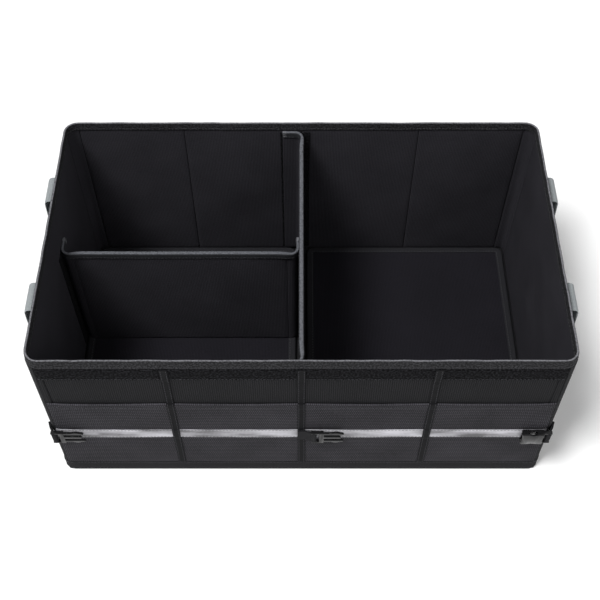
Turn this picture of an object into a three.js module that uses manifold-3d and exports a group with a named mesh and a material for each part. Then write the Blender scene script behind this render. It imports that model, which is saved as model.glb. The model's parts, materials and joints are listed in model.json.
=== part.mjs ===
// Collapsible storage box for a car boot: stiffened cloth walls on a stiffened floor, a tape-bound rim,
// two lift-in dividers held by hook-and-loop tabs, a front pocket with a reflective strip, two webbing
// handles, and three side-release buckle halves that hold the box shut when it is folded.
// Millimetres. X is the length, Y runs from front to back, Z up. The origin is the middle of the underside.
import * as THREE from "three";
import { mergeVertices } from "three/addons/utils/BufferGeometryUtils.js";
import Module from "manifold-3d";

const wasm = await Module();
wasm.setup();

// The box
const boxLength = 600;
const boxDepth = 350;
const boxHeight = 270;
const wallThickness = 3;
const floorThickness = 5;
const rimCornerRadius = 16;
const footCornerRadius = 8;
const cornerStepDegrees = 15;
const foldEdgeRadius = 0.9;

// Cloth, tape and the play between sewn layers
const seamGap = 0.3;
const tapeThickness = 0.8;
const pocketClothThickness = 1.2;
const loopTapeThickness = 1.4;
const reflectiveThickness = 0.5;

// Bindings and bands round the walls
const rimBindingOutside = 14;
const rimBindingInside = 11;
const rimBindingRounding = 0.7;
const footBandHeight = 23;
const footBandThickness = 1.6;
const footBandLift = 0.6;
const cornerBindingGapDegrees = 4;

// The front
const frontWrapDegrees = 20;
const loopStripHeight = 24;
const pocketTop = 177;
const pocketHemHeight = 9;
const pocketHemThickness = 0.6;
const reflectiveMiddle = 103;
const reflectiveHeight = 20;
const frontTapeWidth = 9;

// Base boards
const boardThickness = 4;
const boardCornerRadius = 10;
const boardWallMargin = 4;
const boardDividerMargin = 7;
const boardBindingLip = 9;

// Dividers
const dividerThickness = 3.4;
const dividerSoftEdge = 0.8;
const mainDividerDrop = 13;
const crossDividerDrop = 62;
const crossDividerY = 14;
const dividerBindingHeight = 9;
const tabLength = 25;
const tabThickness = 1.8;
const tabBendRadius = 9;
const tabTopDrop = 2;
const tabStraight = 4;
const wallLoopStripWidth = 38;
const wallLoopStripOverlap = 27;
const wallLoopStripThickness = 1.2;

// Handles
const handleWidth = 38;
const handleThickness = 1.6;
const handleSpacing = 158;
const handleFootLength = 24;
const handleFoldDrop = 17.5;
const handleFoldRadius = 6;
const handleDrop = 97;
const handleBendRadius = 46;

// Buckle halves and the webbing that holds them
const buckleMiddle = 104;
const buckleStandOff = 7.4;
const webbingWidth = 20;
const webbingFoldThickness = 2.4;
const barRadius = 1.7;
const barPlay = 0.4;
const buckleSidePlay = 0.35;
const buckleWidth = 24.6;
const frameThickness = 4.6;
const windowLength = 6.2;
const frameCornerRadius = 1;
const shoulderLength = 5.4;
const armLength = 24;
const armThickness = 3;
const armWidth = 3.4;
const armSwell = 1.6;
const armSwellPull = 1.35;
const armSwellShares = { end: 0.2, pullEnd: 0.28, pullStart: 0.5, start: 0.62 };
const guideWidth = 4.6;
const guideShare = 0.86;
const guideRootFlare = 1.5;
const pieceOverlap = 1;
const socketThickness = 8.2;
const socketLength = 34;
const socketPlay = 0.4;
const socketWaist = 0.8;
const mouthCornerRadius = 2.4;
const socketDepth = 25;
const releaseBiteRadius = 9.5;
const releaseBiteDepth = 2.6;
const releaseBiteShare = 0.55;
const buckleEdge = 0.5;
const socketEdge = 1;
const cornerLoopStartDegrees = 12;
const cornerLoopInset = 5;
const centreLoopX = 15;

// Sizes that follow from the driving ones
const mainDividerTop = boxHeight - mainDividerDrop;
const crossDividerTop = boxHeight - crossDividerDrop;
const handleFoldTop = boxHeight - handleFoldDrop;
const cornerLoopX = boxLength / 2 - cornerLoopInset;
const cornerBindingDegrees = 90 - frontWrapDegrees - cornerBindingGapDegrees;
const tapeOut = seamGap + tapeThickness;
const wallTop = boxHeight - tapeThickness - seamGap;
const rimBindingFoot = boxHeight - rimBindingOutside;
const loopStripTop = rimBindingFoot - seamGap;
const loopStripFoot = loopStripTop - loopStripHeight;
const clothFoot = footBandHeight + seamGap;
const loopStripFace = seamGap + loopTapeThickness;
const pocketFace = seamGap + pocketClothThickness;
const hemFace = pocketFace + pocketHemThickness;
const reflectiveBack = pocketFace + seamGap;
const reflectiveFace = reflectiveBack + reflectiveThickness;
const quarter = boxLength / 4;
const innerX = boxLength / 2 - wallThickness;
const innerY = boxDepth / 2 - wallThickness;
const boardFoot = floorThickness + tapeThickness + 2 * seamGap;
const boardTop = boardFoot + boardThickness;
const boardFace = boardTop + seamGap + tapeThickness;
const tabFoot = boardFace + seamGap;
const stripFace = seamGap + wallLoopStripThickness;
const tabMiddle = stripFace + seamGap + tabThickness / 2;
const loopHole = barRadius + barPlay;
const loopOuter = loopHole + webbingFoldThickness / 2;
const barX = -barRadius;

// Finishes
const cloth = (name, color, roughness = 0.9) => () =>
  new THREE.MeshStandardMaterial({ name, color, roughness, metalness: 0 });
const finishes = {
  wallCloth: cloth("wall_cloth", 0x2b2b2d),
  pocketCloth: cloth("pocket_cloth", 0x3a393e),
  bindingTape: cloth("binding_tape", 0x303032),
  edgeTape: cloth("edge_tape", 0x4a4b4d),
  loopTape: cloth("loop_tape", 0x1e1e20, 1),
  boardCloth: cloth("board_cloth", 0x201f24),
  reflective: cloth("reflective", 0xb4b4b8, 0.45),
  greyWebbing: cloth("grey_webbing", 0xb9c0c2),
  blackWebbing: cloth("black_webbing", 0x1c1c1e),
  blackPlastic: cloth("black_plastic", 0x161618, 0.25),
};

const box = new THREE.Group();
box.name = "car_storage_box";

function add(name, geometry, finish) {
  const mesh = new THREE.Mesh(geometry, finish());
  mesh.name = name;
  box.add(mesh);
  return mesh;
}

// Geometry helpers

function bare(geometry) {
  const copy = geometry.clone();
  copy.deleteAttribute("normal");
  copy.deleteAttribute("uv");
  return mergeVertices(copy, 1e-4);
}

function signedVolume(geometry) {
  const points = geometry.attributes.position;
  const [a, b, c] = [new THREE.Vector3(), new THREE.Vector3(), new THREE.Vector3()];
  let volume = 0;
  for (let i = 0; i < geometry.index.count; i += 3) {
    a.fromBufferAttribute(points, geometry.index.getX(i));
    b.fromBufferAttribute(points, geometry.index.getX(i + 1));
    c.fromBufferAttribute(points, geometry.index.getX(i + 2));
    volume += a.dot(b.cross(c)) / 6;
  }
  return volume;
}

// Turns a closed surface so that its faces point out.
function facingOut(geometry) {
  if (signedVolume(geometry) >= 0) return geometry;
  const index = Array.from(geometry.index.array);
  for (let i = 0; i < index.length; i += 3) [index[i + 1], index[i + 2]] = [index[i + 2], index[i + 1]];
  geometry.setIndex(index);
  return geometry;
}

function toSolid(geometry) {
  const shape = facingOut(bare(geometry));
  return new wasm.Manifold(
    new wasm.Mesh({
      numProp: 3,
      vertProperties: new Float32Array(shape.attributes.position.array),
      triVerts: new Uint32Array(shape.index.array),
    }),
  );
}

function toGeometry(solid) {
  const mesh = solid.getMesh();
  const geometry = new THREE.BufferGeometry();
  geometry.setAttribute("position", new THREE.BufferAttribute(mesh.vertProperties, 3));
  geometry.setIndex(new THREE.BufferAttribute(mesh.triVerts, 1));
  geometry.computeVertexNormals();
  return geometry;
}

function slab([x0, x1], [y0, y1], [z0, z1]) {
  const geometry = new THREE.BoxGeometry(x1 - x0, y1 - y0, z1 - z0);
  return geometry.translate((x0 + x1) / 2, (y0 + y1) / 2, (z0 + z1) / 2);
}

function upright(shape, z0, z1, curveSegments = 4) {
  const geometry = new THREE.ExtrudeGeometry(shape, { depth: z1 - z0, bevelEnabled: false, curveSegments });
  return geometry.translate(0, 0, z0);
}

// A stiffened panel whose vertical edges are rounded, as cloth sewn tight round a board is.
function softPanel([x0, x1], [y0, y1], [z0, z1], edge) {
  const shape = new THREE.Shape();
  shape.moveTo(x0 + edge, y0);
  shape.lineTo(x1 - edge, y0);
  shape.absarc(x1 - edge, y0 + edge, edge, -Math.PI / 2, 0, false);
  shape.lineTo(x1, y1 - edge);
  shape.absarc(x1 - edge, y1 - edge, edge, 0, Math.PI / 2, false);
  shape.lineTo(x0 + edge, y1);
  shape.absarc(x0 + edge, y1 - edge, edge, Math.PI / 2, Math.PI, false);
  shape.lineTo(x0, y0 + edge);
  shape.absarc(x0 + edge, y0 + edge, edge, Math.PI, Math.PI * 1.5, false);
  return upright(shape, z0, z1, 3);
}

// The plan outline of the walls or of a board. A station is a function of the offset from the outline and the
// height, so a section of any form can be carried along the outline.
class Outline {
  constructor({ x = 0, y = 0, length, depth, radiusAt }) {
    Object.assign(this, { x, y, length, depth, radiusAt });
  }

  // Corners 0 to 3 are front left, front right, back right and back left. A corner turns through 90 degrees.
  corner(number, degrees) {
    const side = number === 0 || number === 3 ? -1 : 1;
    const end = number < 2 ? -1 : 1;
    const angle = THREE.MathUtils.degToRad(180 + 90 * number + degrees);
    return (offset, z) => {
      const radius = this.radiusAt(z);
      return [
        this.x + side * (this.length / 2 - radius) + (radius + offset) * Math.cos(angle),
        this.y + end * (this.depth / 2 - radius) + (radius + offset) * Math.sin(angle),
      ];
    };
  }

  cornerRun(number, from, to) {
    const inside = [];
    for (let turn = cornerStepDegrees; turn < 90; turn += cornerStepDegrees) {
      if (turn > from + 1 && turn < to - 1) inside.push(turn);
    }
    return [from, ...inside, to].map((turn) => this.corner(number, turn));
  }

  loop() {
    return [0, 1, 2, 3].flatMap((number) => this.cornerRun(number, 0, 90));
  }

  plate(z0, z1) {
    const points = this.loop().map((station) => new THREE.Vector2(...station(0, z0)));
    return upright(new THREE.Shape(points), z0, z1);
  }
}

// Carries a closed section of [offset, height] points along stations.
function sweep(stations, section, closed = false) {
  const outline = section.map(([offset, z]) => new THREE.Vector2(offset, z));
  if (THREE.ShapeUtils.area(outline) < 0) outline.reverse();
  const positions = stations.flatMap((station) => outline.flatMap((p) => [...station(p.x, p.y), p.y]));
  const ring = outline.length;
  const count = stations.length;
  const index = [];
  for (let i = 0; i < (closed ? count : count - 1); i += 1) {
    for (let j = 0; j < ring; j += 1) {
      const here = i * ring;
      const next = ((i + 1) % count) * ring;
      const step = (j + 1) % ring;
      index.push(here + j, next + j, here + step, here + step, next + j, next + step);
    }
  }
  if (!closed) {
    const last = (count - 1) * ring;
    for (const [a, b, c] of THREE.ShapeUtils.triangulateShape(outline, [])) {
      index.push(a, b, c, last + a, last + c, last + b);
    }
  }
  const geometry = new THREE.BufferGeometry();
  geometry.setAttribute("position", new THREE.Float32BufferAttribute(positions, 3));
  geometry.setIndex(index);
  geometry.computeVertexNormals();
  return facingOut(geometry);
}

const bandSection = (inner, outer, z0, z1) => [
  [inner, z0],
  [outer, z0],
  [outer, z1],
  [inner, z1],
];

// A flat strip of webbing or cloth bent along a path. Each station has a place and the way its width runs.
function bentStrip(stations, width, thickness) {
  const last = stations.length - 1;
  const frames = stations.map(({ at, across }, i) => {
    const along = stations[Math.min(i + 1, last)].at.clone().sub(stations[Math.max(i - 1, 0)].at).normalize();
    return { at, across, out: along.cross(across).normalize() };
  });
  const geometry = bare(new THREE.BoxGeometry(last, width, thickness, last, 1, 1));
  const points = geometry.attributes.position;
  for (let i = 0; i < points.count; i += 1) {
    const { at, across, out } = frames[Math.round(points.getX(i) + last / 2)];
    const place = at.clone().addScaledVector(across, points.getY(i)).addScaledVector(out, points.getZ(i));
    points.setXYZ(i, place.x, place.y, place.z);
  }
  geometry.computeVertexNormals();
  return facingOut(geometry);
}

// Walls, floor and corners

const walls = new Outline({
  length: boxLength,
  depth: boxDepth,
  radiusAt: (z) => THREE.MathUtils.mapLinear(z, 0, boxHeight, footCornerRadius, rimCornerRadius),
});

function makeFloor() {
  add("bottom_panel", walls.plate(0, floorThickness), finishes.wallCloth);
}

function makeWallPanels() {
  const panel = (x, y) => softPanel(x, y, [floorThickness, wallTop], foldEdgeRadius);
  const flatX = boxLength / 2 - rimCornerRadius;
  const flatY = boxDepth / 2 - rimCornerRadius;
  const folds = [-flatX, -quarter, 0, quarter, flatX];
  for (let i = 0; i < folds.length - 1; i += 1) {
    const span = [folds[i], folds[i + 1]];
    add(`front_panel_${i + 1}`, panel(span, [-boxDepth / 2, -innerY]), finishes.wallCloth);
    add(`back_panel_${i + 1}`, panel(span, [innerY, boxDepth / 2]), finishes.wallCloth);
  }
  add("left_panel", panel([-boxLength / 2, -innerX], [-flatY, flatY]), finishes.wallCloth);
  add("right_panel", panel([innerX, boxLength / 2], [-flatY, flatY]), finishes.wallCloth);
}

const cornerNames = ["front_left", "front_right", "back_right", "back_left"];

// A corner gusset runs from the flat of one wall round the corner to the flat of the next.
function makeCornerGussets() {
  const flatX = boxLength / 2 - rimCornerRadius;
  const flatY = boxDepth / 2 - rimCornerRadius;
  const section = bandSection(-wallThickness, 0, floorThickness, wallTop);
  cornerNames.forEach((name, number) => {
    const side = number === 0 || number === 3 ? -1 : 1;
    const end = number < 2 ? -1 : 1;
    const onSide = (offset) => [side * (boxLength / 2 + offset), end * flatY];
    const onEnd = (offset) => [side * flatX, end * (boxDepth / 2 + offset)];
    const [first, last] = number % 2 === 0 ? [onSide, onEnd] : [onEnd, onSide];
    const stations = [first, ...walls.cornerRun(number, 0, 90), last];
    add(`corner_gusset_${name}`, sweep(stations, section), finishes.wallCloth);
  });
}

function makeRimBinding() {
  const outerFace = tapeOut;
  const innerFace = -wallThickness - tapeOut;
  const under = boxHeight - tapeThickness;
  const round = rimBindingRounding;
  const section = [
    [seamGap, rimBindingFoot],
    [outerFace, rimBindingFoot],
    [outerFace, boxHeight - round],
    [outerFace - round, boxHeight],
    [innerFace + round, boxHeight],
    [innerFace, boxHeight - round],
    [innerFace, boxHeight - rimBindingInside],
    [-wallThickness - seamGap, boxHeight - rimBindingInside],
    [-wallThickness - seamGap, under],
    [seamGap, under],
  ];
  add("rim_binding", sweep(walls.loop(), section, true), finishes.bindingTape);
}

function makeFootBand() {
  const section = bandSection(seamGap, seamGap + footBandThickness, footBandLift, footBandHeight);
  add("foot_band", sweep(walls.loop(), section, true), finishes.bindingTape);
}

// A corner binding covers the side wall's end of each corner.
function makeCornerBindings() {
  const section = bandSection(seamGap, tapeOut, clothFoot, loopStripTop);
  cornerNames.forEach((name, number) => {
    const run = number % 2 === 0 ? [0, cornerBindingDegrees] : [90 - cornerBindingDegrees, 90];
    add(`corner_binding_${name}`, sweep(walls.cornerRun(number, ...run), section), finishes.bindingTape);
  });
}

// The front

const frontRun = () => [
  ...walls.cornerRun(0, 90 - frontWrapDegrees, 90),
  ...walls.cornerRun(1, 0, frontWrapDegrees),
];

function makeFrontCloths() {
  const stripSection = bandSection(seamGap, loopStripFace, loopStripFoot, loopStripTop);
  add("front_loop_strip", sweep(frontRun(), stripSection), finishes.loopTape);
  const hemFoot = pocketTop - pocketHemHeight;
  const pocketSection = [
    [seamGap, clothFoot],
    [pocketFace, clothFoot],
    [pocketFace, hemFoot],
    [hemFace, hemFoot],
    [hemFace, pocketTop],
    [seamGap, pocketTop],
  ];
  add("pocket_panel", sweep(frontRun(), pocketSection), finishes.pocketCloth);
  const low = reflectiveMiddle - reflectiveHeight / 2;
  const reflectiveSection = bandSection(reflectiveBack, reflectiveFace, low, low + reflectiveHeight);
  add("reflective_strip", sweep(frontRun(), reflectiveSection), finishes.reflective);
}

// Each front tape dips and climbs over the layers it is sewn to. Its profile is a list of height and face.
function makeFrontTapes() {
  const step = 2;
  const low = reflectiveMiddle - reflectiveHeight / 2;
  const high = low + reflectiveHeight;
  const layers = [
    [loopStripTop, loopStripFace],
    [loopStripFoot - step / 2, loopStripFace],
    [loopStripFoot - 2 * step, 0],
    [pocketTop + 2 * step, 0],
    [pocketTop + step / 2, hemFace],
    [pocketTop - pocketHemHeight - step / 2, hemFace],
    [pocketTop - pocketHemHeight - 2 * step, pocketFace],
    [high + 2 * step, pocketFace],
    [high + step / 2, reflectiveFace],
    [low - step / 2, reflectiveFace],
    [low - 2 * step, pocketFace],
    [clothFoot, pocketFace],
  ];
  const across = new THREE.Vector3(1, 0, 0);
  ["left", "centre", "right"].forEach((name, i) => {
    const stations = layers.map(([z, face]) => ({
      at: new THREE.Vector3((i - 1) * quarter, -boxDepth / 2 - face - seamGap - tapeThickness / 2, z),
      across,
    }));
    add(`front_tape_${name}`, bentStrip(stations, frontTapeWidth, tapeThickness), finishes.bindingTape);
  });
}

// Base boards: loose covered boards with bound edges, one each side of the main divider.
function makeBaseBoards() {
  const inner = dividerThickness / 2 + boardDividerMargin;
  const outer = innerX - boardWallMargin;
  for (const [name, side] of [["left", -1], ["right", 1]]) {
    const outline = new Outline({
      x: (side * (inner + outer)) / 2,
      length: outer - inner,
      depth: 2 * (innerY - boardWallMargin),
      radiusAt: () => boardCornerRadius,
    });
    add(`base_board_${name}`, outline.plate(boardFoot, boardTop), finishes.boardCloth);
    const section = [
      [-boardBindingLip, boardFoot - seamGap - tapeThickness],
      [tapeOut, boardFoot - seamGap - tapeThickness],
      [tapeOut, boardFace],
      [-boardBindingLip, boardFace],
      [-boardBindingLip, boardTop + seamGap],
      [seamGap, boardTop + seamGap],
      [seamGap, boardFoot - seamGap],
      [-boardBindingLip, boardFoot - seamGap],
    ];
    add(`base_board_binding_${name}`, sweep(outline.loop(), section, true), finishes.bindingTape);
  }
}

// Dividers

// A tape folded over the top edge of a divider: its section is drawn across the divider, then run along it.
function dividerBinding(from, to, top) {
  const outerFace = dividerThickness / 2 + tapeOut;
  const innerFace = dividerThickness / 2 + seamGap;
  const crown = top + tapeOut;
  const shape = new THREE.Shape();
  shape.moveTo(-outerFace, top - dividerBindingHeight);
  shape.lineTo(-innerFace, top - dividerBindingHeight);
  shape.lineTo(-innerFace, top + seamGap);
  shape.lineTo(innerFace, top + seamGap);
  shape.lineTo(innerFace, top - dividerBindingHeight);
  shape.lineTo(outerFace, top - dividerBindingHeight);
  shape.lineTo(outerFace, crown - tapeOut);
  shape.quadraticCurveTo(outerFace, crown, outerFace - tapeOut, crown);
  shape.lineTo(-outerFace + tapeOut, crown);
  shape.quadraticCurveTo(-outerFace, crown, -outerFace, crown - tapeOut);
  return upright(shape, 0, to - from, 3).rotateX(Math.PI / 2).translate(0, to, 0);
}

// A hook tab: it leaves the end of a divider along its far face, bends through a right angle and lies along
// the wall. The path starts at the divider's end, drawn with the divider along +Y and the tab turning to -X.
function tabStations(endY, wallY, z0, z1) {
  const faceX = dividerThickness / 2 - tabThickness / 2;
  const layY = wallY - tabMiddle;
  const bendY = layY - tabBendRadius;
  const middle = (z0 + z1) / 2;
  const across = new THREE.Vector3(0, 0, 1);
  const plan = [[faceX, endY + seamGap]];
  for (let turn = 0; turn <= 90; turn += cornerStepDegrees) {
    const angle = THREE.MathUtils.degToRad(turn);
    plan.push([faceX - tabBendRadius * (1 - Math.cos(angle)), bendY + tabBendRadius * Math.sin(angle)]);
  }
  plan.push([faceX - tabLength, layY]);
  return plan.map(([x, y]) => ({ at: new THREE.Vector3(x, y, middle), across }));
}

function hookTab(endY, wallY, z0, z1) {
  return bentStrip(tabStations(endY, wallY, z0, z1), z1 - z0, tabThickness);
}

const mirror = (geometry, x, y) => facingOut(bare(geometry.clone().scale(x, y, 1)));
const quarterTurn = (geometry) => geometry.clone().rotateZ(Math.PI / 2);

// Where a divider's board ends, so that its tab has room to bend beside the wall.
const boardEndBefore = (wall) => wall - tabMiddle - tabBendRadius - tabStraight;

function makeMainDivider() {
  const foot = floorThickness + seamGap;
  const endY = boardEndBefore(innerY);
  const half = dividerThickness / 2;
  const panel = softPanel([-half, half], [-endY, endY], [foot, mainDividerTop], dividerSoftEdge);
  add("main_divider_panel", panel, finishes.boardCloth);
  add("main_divider_binding", dividerBinding(-endY, endY, mainDividerTop), finishes.edgeTape);
  const tab = hookTab(endY, innerY, tabFoot, mainDividerTop - tabTopDrop);
  add("main_divider_tab_rear", tab, finishes.boardCloth);
  add("main_divider_tab_front", mirror(tab, 1, -1), finishes.boardCloth);
}

// The cross divider spans from the left wall to the left face of the main divider.
function makeCrossDivider() {
  const left = -innerX;
  const right = -dividerThickness / 2;
  const middle = (left + right) / 2;
  const reach = (right - left) / 2;
  const endX = boardEndBefore(reach);
  const half = dividerThickness / 2;
  const panel = softPanel(
    [middle - endX, middle + endX],
    [crossDividerY - half, crossDividerY + half],
    [tabFoot, crossDividerTop],
    dividerSoftEdge,
  );
  add("cross_divider_panel", panel, finishes.boardCloth);
  const binding = quarterTurn(dividerBinding(-endX, endX, crossDividerTop));
  add("cross_divider_binding", binding.translate(middle, crossDividerY, 0), finishes.edgeTape);
  const tab = quarterTurn(hookTab(endX, reach, tabFoot, crossDividerTop - tabTopDrop));
  const leftTab = mirror(tab, 1, -1).translate(middle, crossDividerY, 0);
  add("cross_divider_tab_left", leftTab, finishes.boardCloth);
  const rightTab = mirror(tab, -1, -1).translate(middle, crossDividerY, 0);
  add("cross_divider_tab_right", rightTab, finishes.boardCloth);
}

// The loop strips that the tabs hold on to. Each starts a little past the tab's end and runs back under it.
function makeWallLoopStrips() {
  const main = [tabFoot, mainDividerTop - tabTopDrop];
  const spanX = [-wallLoopStripOverlap, wallLoopStripWidth - wallLoopStripOverlap];
  const back = [innerY - stripFace, innerY - seamGap];
  add("loop_strip_back_wall", slab(spanX, back, main), finishes.loopTape);
  add("loop_strip_front_wall", slab(spanX, [-back[1], -back[0]], main), finishes.loopTape);
  const cross = [tabFoot, crossDividerTop - tabTopDrop];
  const start = crossDividerY + wallLoopStripOverlap;
  const spanY = [start - wallLoopStripWidth, start];
  const left = [-innerX + seamGap, -innerX + stripFace];
  add("loop_strip_left_wall", slab(left, spanY, cross), finishes.loopTape);
  const face = -dividerThickness / 2;
  add("loop_strip_main_divider", slab([face - stripFace, face - seamGap], spanY, cross), finishes.loopTape);
}

// Handles

// Half of a handle's path, from its sewn foot to the bottom of its loop, as [out, y, z, turn]. Out is counted
// from the wall face and turn is how far the strap has swung round in the plane of the wall.
function handleHalfPath() {
  const sewn = seamGap + handleThickness / 2;
  const end = handleSpacing / 2;
  const foldMiddle = handleFoldTop - handleThickness / 2 - handleFoldRadius;
  const hang = sewn + 2 * handleFoldRadius;
  const bottom = foldMiddle - handleDrop;
  const path = [
    [sewn, end, foldMiddle - handleFootLength, 0],
    [sewn, end, foldMiddle - handleFootLength / 2, 0],
  ];
  const foldStep = 22.5;
  for (let turn = 0; turn <= 180; turn += foldStep) {
    const angle = THREE.MathUtils.degToRad(turn);
    path.push([
      sewn + handleFoldRadius * (1 - Math.cos(angle)),
      end,
      foldMiddle + handleFoldRadius * Math.sin(angle),
      0,
    ]);
  }
  for (let turn = 0; turn <= 90; turn += cornerStepDegrees) {
    const angle = THREE.MathUtils.degToRad(turn);
    path.push([
      hang,
      end - handleBendRadius * (1 - Math.cos(angle)),
      bottom + handleBendRadius * (1 - Math.sin(angle)),
      turn,
    ]);
  }
  return path;
}

function makeHandles() {
  const half = handleHalfPath();
  const otherHalf = half.map(([out, y, z, turn]) => [out, -y, z, 180 - turn]).reverse();
  const stations = [...half, ...otherHalf].map(([out, y, z, turn]) => {
    const angle = THREE.MathUtils.degToRad(turn);
    return {
      at: new THREE.Vector3(boxLength / 2 + out, y, z),
      across: new THREE.Vector3(0, Math.cos(angle), -Math.sin(angle)),
    };
  });
  const strap = bentStrip(stations, handleWidth, handleThickness);
  add("handle_right", strap, finishes.greyWebbing);
  add("handle_left", mirror(strap, -1, 1), finishes.greyWebbing);
}

// Buckle webbing loops

// A strip of webbing folded round a bar and sewn to itself, seen from above: two layers along a path, with an
// eye round the bar at the path's end.
function webbingEye(path, z0, z1) {
  const half = webbingFoldThickness / 2;
  const eye = path.at(-1);
  const approach = eye.clone().sub(path.at(-2)).normalize();
  const neck = Math.sqrt(loopOuter ** 2 - half ** 2);
  const middle = [...path.slice(0, -1), eye.clone().addScaledVector(approach, -neck)];
  const sides = [1, -1].map((side) =>
    middle.map((p, i) => {
      const before = middle[Math.max(i - 1, 0)];
      const after = middle[Math.min(i + 1, middle.length - 1)];
      const way = i === middle.length - 1 ? approach : after.clone().sub(before).normalize();
      return new THREE.Vector2(p.x - way.y * half * side, p.y + way.x * half * side);
    }),
  );
  const heading = approach.angle();
  const mouth = Math.PI - Math.asin(half / loopOuter);
  const arc = [];
  const arcSteps = 12;
  for (let i = 1; i < arcSteps; i += 1) {
    const angle = heading + mouth - (2 * mouth * i) / arcSteps;
    arc.push(new THREE.Vector2(eye.x + loopOuter * Math.cos(angle), eye.y + loopOuter * Math.sin(angle)));
  }
  const outline = [...sides[0], ...arc, ...sides[1].reverse()].reverse();
  const shape = new THREE.Shape(outline);
  shape.holes.push(new THREE.Path().absarc(eye.x, eye.y, loopHole, 0, Math.PI * 2, true));
  return upright(shape, z0, z1, 8);
}

const barY = -boxDepth / 2 - buckleStandOff;
const webbingSpan = [buckleMiddle - webbingWidth / 2, buckleMiddle + webbingWidth / 2];

// A corner loop is sewn over the corner binding, follows the corner and leaves it for the bar.
function makeCornerLoop() {
  const clear = reflectiveFace + seamGap + webbingFoldThickness / 2;
  const sewn = tapeOut + seamGap + webbingFoldThickness / 2;
  const start = walls.corner(0, cornerLoopStartDegrees)(sewn, buckleMiddle);
  const on = walls.corner(0, cornerLoopStartDegrees + cornerStepDegrees)(sewn, buckleMiddle);
  const leave = walls.corner(0, cornerLoopStartDegrees + 2 * cornerStepDegrees)(clear, buckleMiddle);
  const curve = new THREE.CatmullRomCurve3(
    [start, on, leave, [-cornerLoopX, barY]].map(([x, y]) => new THREE.Vector3(x, y, 0)),
    false,
    "centripetal",
  );
  const pathSteps = 8;
  const path = curve.getPoints(pathSteps).map((p) => new THREE.Vector2(p.x, p.y));
  const loop = webbingEye(path, ...webbingSpan);
  add("buckle_loop_left", loop, finishes.blackWebbing);
  add("buckle_loop_right", mirror(loop, -1, 1), finishes.blackWebbing);
}

// The centre loop is sewn on the centre tape and leaves it to the right.
function makeCentreLoop() {
  const sewnY = -boxDepth / 2 - reflectiveFace - 2 * seamGap - tapeThickness - webbingFoldThickness / 2;
  const edge = frontTapeWidth / 2;
  const path = [
    [-edge, sewnY],
    [0, sewnY],
    [edge, sewnY],
    [(edge + centreLoopX) / 2, (sewnY + barY) / 2],
    [centreLoopX, barY],
  ].map(([x, y]) => new THREE.Vector2(x, y));
  add("buckle_loop_centre", webbingEye(path, ...webbingSpan), finishes.blackWebbing);
}

// Buckle halves, drawn lying flat with the bar on the Y axis and the far end along +X

const halfWidth = buckleWidth / 2;
const windowHalf = webbingWidth / 2 + buckleSidePlay;

function flatPiece(shape, thickness, edge = buckleEdge) {
  const geometry = new THREE.ExtrudeGeometry(shape, {
    depth: thickness - 2 * edge,
    bevelEnabled: true,
    bevelThickness: edge,
    bevelSize: edge,
    bevelOffset: -edge,
    bevelSegments: 1,
    curveSegments: 6,
  });
  return toSolid(geometry.translate(0, 0, -thickness / 2 + edge));
}

// The frame that both halves share: two rails beside the webbing and the bar between them.
function buckleFrame(shoulderEnd) {
  const rear = 2 * barX;
  const round = frameCornerRadius;
  const shape = new THREE.Shape();
  shape.moveTo(rear + round, -halfWidth);
  shape.lineTo(shoulderEnd, -halfWidth);
  shape.lineTo(shoulderEnd, halfWidth);
  shape.lineTo(rear + round, halfWidth);
  shape.quadraticCurveTo(rear, halfWidth, rear, halfWidth - round);
  shape.lineTo(rear, windowHalf);
  shape.lineTo(windowLength, windowHalf);
  shape.lineTo(windowLength, -windowHalf);
  shape.lineTo(rear, -windowHalf);
  shape.lineTo(rear, -halfWidth + round);
  shape.quadraticCurveTo(rear, -halfWidth, rear + round, -halfWidth);
  const bar = new THREE.CylinderGeometry(barRadius, barRadius, buckleWidth - 2 * buckleEdge, 16);
  return flatPiece(shape, frameThickness).add(toSolid(bar));
}

// One springy arm. It swells where the fingers press it and its tip is rounded to find the socket.
function armShape() {
  const root = windowLength + shoulderLength - pieceOverlap;
  const tip = windowLength + shoulderLength + armLength;
  const outside = halfWidth - armSwell;
  const inside = outside - armWidth;
  const pull = outside + armSwell * armSwellPull;
  const { end, pullEnd, pullStart, start } = armSwellShares;
  const shape = new THREE.Shape();
  shape.moveTo(root, inside);
  shape.lineTo(tip - armWidth, inside);
  shape.quadraticCurveTo(tip, inside, tip, inside + armWidth / 2);
  shape.quadraticCurveTo(tip - armWidth / 2, outside, tip - armWidth, outside);
  shape.lineTo(tip - armLength * end, outside);
  shape.bezierCurveTo(
    tip - armLength * pullEnd, pull,
    tip - armLength * pullStart, pull,
    tip - armLength * start, outside,
  );
  shape.lineTo(root, outside);
  return shape;
}

function guideShape() {
  const root = windowLength + shoulderLength - pieceOverlap;
  const tip = windowLength + shoulderLength + armLength * guideShare;
  const half = guideWidth / 2;
  const shape = new THREE.Shape();
  shape.moveTo(root, -half * guideRootFlare);
  shape.quadraticCurveTo(root + half, -half, root + 2 * half, -half);
  shape.lineTo(tip - half, -half);
  shape.quadraticCurveTo(tip, -half, tip, 0);
  shape.quadraticCurveTo(tip, half, tip - half, half);
  shape.lineTo(root + 2 * half, half);
  shape.quadraticCurveTo(root + half, half, root, half * guideRootFlare);
  return shape;
}

function armedHalf() {
  const upper = flatPiece(armShape(), armThickness);
  const lower = upper.mirror([0, 1, 0]);
  const guide = flatPiece(guideShape(), armThickness);
  return buckleFrame(windowLength + shoulderLength).add(upper).add(lower).add(guide);
}

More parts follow.
